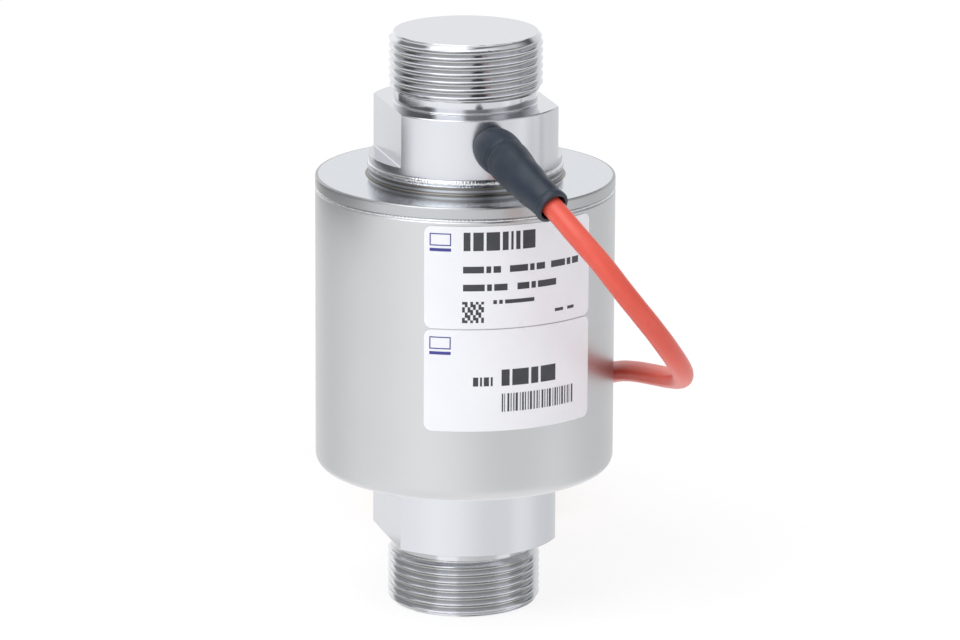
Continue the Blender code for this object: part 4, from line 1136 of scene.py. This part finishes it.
# %% Cores
with_cable = [tie, tie_head, tie_stub]
sides = [(-1, -1), (1, -1), (-1, 1), (1, 1)]
for name, (across, up) in zip(core_coats, sides):
    coat = core_coats[name]
    centres = core_line(across, up)
    points = capped_tube(centres, CORE_RADIUS * MM, CORE_COLUMNS)
    faces = grid_faces(len(points), CORE_COLUMNS, False, True)
    core_name = name.replace("core", "insulated_core")
    core = make_piece(core_name, points, faces, coat, (name,), weld=WELD)
    way = centres[-1] - centres[-2]
    way /= np.linalg.norm(way)
    crimp_line = centres[-1] + way * np.linspace(-CRIMP_OVERLAP, CRIMP_LENGTH, 24)[:, None] * MM
    points = capped_tube(crimp_line, CRIMP_RADIUS * MM, CRIMP_COLUMNS)
    waves = 1 + 0.06 * np.sin(np.linspace(0, 7 * math.pi, len(points)))[:, None, None]
    middle = points.mean(axis=1, keepdims=True)
    points = middle + (points - middle) * waves
    faces = grid_faces(len(points), CRIMP_COLUMNS, False, True)
    crimp = make_piece(name.replace("core", "crimp_sleeve"), points, faces, tinned, weld=WELD)
    with_cable += [core, crimp]

# %% [markdown]
# The cable comes out of the boot, hangs down and ends bare.

# %% Cord
tuple(cable_at(np.array([0.0035]))[0])
print("pieces of the cord:", 1 + len(with_cable))

# %% [markdown]
# ## Pieces inside the housing
# The gauges, their terminals and wires and the trim board are closed in for good.
# Their solids have the right shape already, so they keep it and get finishes.

# %% Finishes of the hidden solids
HIDDEN = {
    "gland_body": turned,
    "gland_ferrule": turned,
    "gland_seal": rubber,
    "strain_gauge": foil,
    "solder_terminal": laminate,
    "trim_board": laminate,
    "trim_resistor": resistor_coat,
    "gauge_wire": wire_coat,
    "wire_bundle": wire_coat,
}
for name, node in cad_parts.items():
    for start, finish in HIDDEN.items():
        if name.startswith(start):
            for holder in node.material_slots:
                holder.material = finish
print("hidden solids finished")

# %% [markdown]
# ## The studio round the object
# Polished metal shows what stands round it, so a studio is drawn in the world:
# a white table all round below the horizon, a darker room above it with bright
# screens at the back and in front on the left, a dark band over the room and
# lamps overhead. Mirror rays read that studio, soft light comes evenly from all
# sides, and the camera sees plain white. Each table gives bearings in degrees,
# nought toward the camera and positive to its right, and the light there.

# %% Studio bearings
TABLE_SIDE = [
    (-180, 0.76), (-150, 0.79), (-138, 0.70), (-122, 0.68), (-104, 0.80), (-87, 0.90),
    (-60, 0.93), (-36, 0.99), (-8, 0.95), (10, 0.86), (24, 0.78), (56, 0.76),
    (68, 0.88), (84, 0.84), (100, 0.72), (125, 0.66), (145, 0.68), (180, 0.76),
]
ROOM_SIDE = [
    (-180, 0.75), (-170, 0.76), (-162, 0.90), (-147, 0.90), (-135, 0.70), (-112, 0.30),
    (-100, 0.16), (-58, 0.13), (-50, 0.50), (-46, 1.20), (-20, 1.30), (-6, 1.10),
    (2, 0.30), (34, 0.22), (48, 0.55), (62, 0.60), (75, 0.25), (100, 0.20),
    (125, 0.50), (150, 0.72), (180, 0.75),
]
DARK_BAND = [
    (-180, 0.10), (-165, 0.10), (-150, 0.20), (-135, 0.22), (-120, 0.50), (-75, 0.50),
    (-55, 0.15), (55, 0.15), (75, 0.60), (112, 0.60), (130, 0.10), (180, 0.10),
]
OVERHEAD = [
    (-180, 0.90), (-172, 1.10), (-164, 2.60), (-148, 2.60), (-141, 1.10), (0, 1.10),
    (72, 0.90), (110, 0.45), (145, 0.12), (160, 0.20), (172, 0.85), (180, 0.90),
]
ALL_SIDES = (TABLE_SIDE, ROOM_SIDE, DARK_BAND, OVERHEAD)
print("studio bearings:", sum(len(stops) for stops in ALL_SIDES))

# %% Bearing helpers
def bearing(tree, direction):
    """How far round from the camera's side a direction points, as a share of a full turn."""
    across = add(tree, "VectorMath", {0: direction, 1: tuple(VIEW_RIGHT)}, operation="DOT_PRODUCT")
    toward = add(tree, "VectorMath", {0: direction, 1: tuple(-VIEW_AWAY)}, operation="DOT_PRODUCT")
    sides = {0: across.outputs["Value"], 1: toward.outputs["Value"]}
    angle = add(tree, "Math", sides, operation="ARCTAN2").outputs[0]
    as_share = {0: angle, 1: 0.5 / math.pi, 2: 0.5}
    return add(tree, "Math", as_share, operation="MULTIPLY_ADD").outputs[0]


def by_bearing(tree, around, stops):
    """A ramp round the horizon, from the back over the left, the front and the right."""
    placed = [((place + 180) / 360, light) for place, light in stops]
    return ramp(tree, around, placed).outputs["Color"]


print("ramps of the studio:", len(ALL_SIDES))

# %% World
STEEP_BELOW = (0.93, 0.92, 0.91, 1.0)
MIRROR_STRENGTH = 1.45
SOFT_STRENGTH = 0.74
world = bpy.data.worlds.new("studio")
bpy.context.scene.world = world
world.use_nodes = True
sky = world.node_tree
sky.nodes.clear()


def between(height, low, high):
    """Nought below the lower height, one above the upper, smooth between them."""
    limits = {"Value": height, "From Min": low, "From Max": high}
    return add(sky, "MapRange", limits, interpolation_type="SMOOTHSTEP").outputs[0]


def blend_colours(share, first, second):
    """The first colour where the share is nought, the second where it is one."""
    return add(sky, "Mix", {0: share, 6: first, 7: second}, data_type="RGBA").outputs[2]


ray = add(sky, "TexCoord").outputs["Generated"]
around = bearing(sky, ray)
rise = add(sky, "SeparateXYZ", {"Vector": ray}).outputs["Z"]
fall = add(sky, "Math", {0: rise, 1: -1.0}, operation="MULTIPLY").outputs[0]
table, room, dark_band, overhead = (by_bearing(sky, around, stops) for stops in ALL_SIDES)
studio_light = blend_colours(between(rise, -0.06, 0.10), table, room)
studio_light = blend_colours(between(rise, 0.40, 0.52), studio_light, dark_band)
studio_light = blend_colours(between(rise, 0.80, 0.88), studio_light, overhead)
studio_light = blend_colours(between(fall, 0.45, 0.80), studio_light, STEEP_BELOW)
mirror, even, plain = (
    add(sky, "Background", {"Color": colour, "Strength": strength}).outputs[0]
    for colour, strength in (
        (studio_light, MIRROR_STRENGTH),
        ((0.97, 0.98, 1.0, 1.0), SOFT_STRENGTH),
        ((1.0, 1.0, 1.0, 1.0), 1.0),
    )
)
kind_of = add(sky, "LightPath").outputs
lit = add(sky, "MixShader", {0: kind_of["Is Glossy Ray"], 1: even, 2: mirror}).outputs[0]
seen = add(sky, "MixShader", {0: kind_of["Is Camera Ray"], 1: lit, 2: plain}).outputs[0]
add(sky, "OutputWorld", {"Surface": seen})
print("nodes of the world:", len(sky.nodes))

# %% [markdown]
# The floor takes a faint shadow of the lamp. The camera sees it nearly as white
# as the surroundings, and mirrors don't see it, as they read the drawn table.

# %% Stage helpers
def bare_finish(name):
    """A material that has no node yet."""
    finish = bpy.data.materials.new(name)
    finish.use_nodes = True
    finish.node_tree.nodes.clear()
    return finish, finish.node_tree


def stage_sheet(name, outline, columns, finish, hidden_from):
    """A sheet spun round the axis, part of the studio and not of the model."""
    points = spin(np.array(outline), columns).reshape(-1, 3)
    mesh = bpy.data.meshes.new(name)
    mesh.from_pydata(points, [], grid_faces(len(outline), columns, False, True).tolist())
    mesh.materials.append(finish)
    sheet = add_object(name, mesh)
    for kind in hidden_from:
        setattr(sheet, "visible_" + kind, False)
    print(f"{name}: {len(points)} points")


print("stage helpers: 2")

# %% Floor
FLOOR_RADIUS = 8.0
FLOOR_RINGS = 9
floor_finish, tree = bare_finish("white_studio_floor")
matt = add(tree, "BsdfDiffuse", {"Color": linear("#E9E9EA")}).outputs[0]
glow = add(tree, "Emission", {"Color": (1.0, 1.0, 1.0, 1.0), "Strength": 0.82}).outputs[0]
dim = add(tree, "BsdfDiffuse", {"Color": (0.21, 0.21, 0.21, 1.0)}).outputs[0]
shown = add(tree, "AddShader", {0: dim, 1: glow}).outputs[0]
camera_ray = add(tree, "LightPath").outputs["Is Camera Ray"]
surface = add(tree, "MixShader", {0: camera_ray, 1: matt, 2: shown}).outputs[0]
add(tree, "OutputMaterial", {"Surface": surface})
reach = np.linspace(0.0, FLOOR_RADIUS, FLOOR_RINGS)
floor_outline = np.stack([reach, np.zeros(FLOOR_RINGS)], axis=1)
stage_sheet("studio_floor", floor_outline, 48, floor_finish, ("glossy",))

# %% [markdown]
# A black card, as photographers use, stands close to the collar and shows in its
# walls as soft dark stripes. A dark warm disc with a low wall round the lower stud
# is a painted shadow: the stud's mirrors see it as the table's shade close to the
# object. A white sheet under the housing glows and puts a painted highlight on
# the housing's lower edge. Mirrors alone see them. The stops say how dense a card
# is at each bearing.

# %% Card helper
def mirror_card(name, outline, stops, shade):
    """A sheet round the axis that glows in its shade, and is clear where its share is nought."""
    finish, tree = bare_finish(name)
    around = bearing(tree, add(tree, "TexCoord").outputs["Object"])
    clear = add(tree, "BsdfTransparent").outputs[0]
    card = add(tree, "Emission", {"Color": (*shade, 1.0)}).outputs[0]
    shares = {0: by_bearing(tree, around, stops), 1: clear, 2: card}
    add(tree, "OutputMaterial", {"Surface": add(tree, "MixShader", shares).outputs[0]})
    hidden_from = ("camera", "diffuse", "shadow", "transmission")
    stage_sheet(name, outline, 96, finish, hidden_from)


HIGH_CARD = [
    (-180, 0.0), (-130, 0.0), (-125, 0.92), (-78, 0.92), (-70, 0.6), (-57, 0.0),
    (68, 0.0), (73, 0.22), (79, 0.22), (84, 0.0), (90.5, 0.0), (91.5, 0.6),
    (93.5, 0.6), (94.5, 0.0), (180, 0.0),
]
LOW_SHADOW_STOPS = [
    (-180, 0.0), (-125, 0.0), (-100, 0.35), (-33, 0.35), (-28, 0.0), (-9, 0.0),
    (-4, 0.25), (20, 0.3), (36, 0.25), (41, 0.0), (56, 0.0), (60, 0.4),
    (78, 0.4), (82, 0.1), (110, 0.0), (180, 0.0),
]
ALL_ROUND = [(-180, 1.0), (180, 1.0)]
print("bearings of the cards:", len(HIGH_CARD) + len(LOW_SHADOW_STOPS))

# %% Cards
HIGH_OUTLINE = [(0.11, 0.0885), (0.11, 0.112)]
LOW_SHADOW_OUTLINE = [(0.003, 0.0003), (0.03, 0.0003), (0.03, 0.0125)]
WHITE_OUTLINE = [(0.0262, 0.0345), (0.0374, 0.0345)]
mirror_card("high_black_card", HIGH_OUTLINE, HIGH_CARD, (0.01, 0.01, 0.01))
# Painted shadow: a dim warm disc round the lower stud, seen only in mirrors as the table's shade
# near the object.
mirror_card("low_painted_shadow_card", LOW_SHADOW_OUTLINE, LOW_SHADOW_STOPS, (0.20, 0.16, 0.11))
# Painted highlight: a glowing sheet under the housing, seen only in mirrors, lights the housing's
# lower edge.
mirror_card("glowing_highlight_card_under_housing", WHITE_OUTLINE, ALL_ROUND, (1.35, 1.35, 1.35))

# %% [markdown]
# A large lamp up on the left gives shape and the faint shadow. Its direction is
# built from two angles, and it looks at the middle of the object.

# %% Lamp
LAMP_SIZE = 1.2
LAMP_POWER = 12.0
LAMP_DISTANCE = 1.6
lamp_data = bpy.data.lights.new("large_softbox", "AREA")
lamp_data.shape = "SQUARE"
lamp_data.size = LAMP_SIZE
lamp_data.energy = LAMP_POWER
lamp = add_object("large_softbox", lamp_data)
aim = Vector((0.0, 0.0, 0.075))
from_side = math.radians(-40)
from_above = math.radians(52)
direction = (
    Vector(VIEW_RIGHT) * math.sin(from_side) * math.cos(from_above)
    - Vector(VIEW_AWAY) * math.cos(from_side) * math.cos(from_above)
    + Vector((0, 0, 1)) * math.sin(from_above)
)
lamp_place = aim + direction * LAMP_DISTANCE
lamp_turn = direction.to_track_quat("Z", "Y").to_matrix().to_4x4()
lamp.matrix_world = Matrix.Translation(lamp_place) @ lamp_turn
print("lamp at", [round(place, 2) for place in lamp_place])

# %% [markdown]
# ## Finish
# The picture keeps the plain Standard view, so colours show as they are written.

# %% View
bpy.context.scene.view_settings.view_transform = "Standard"
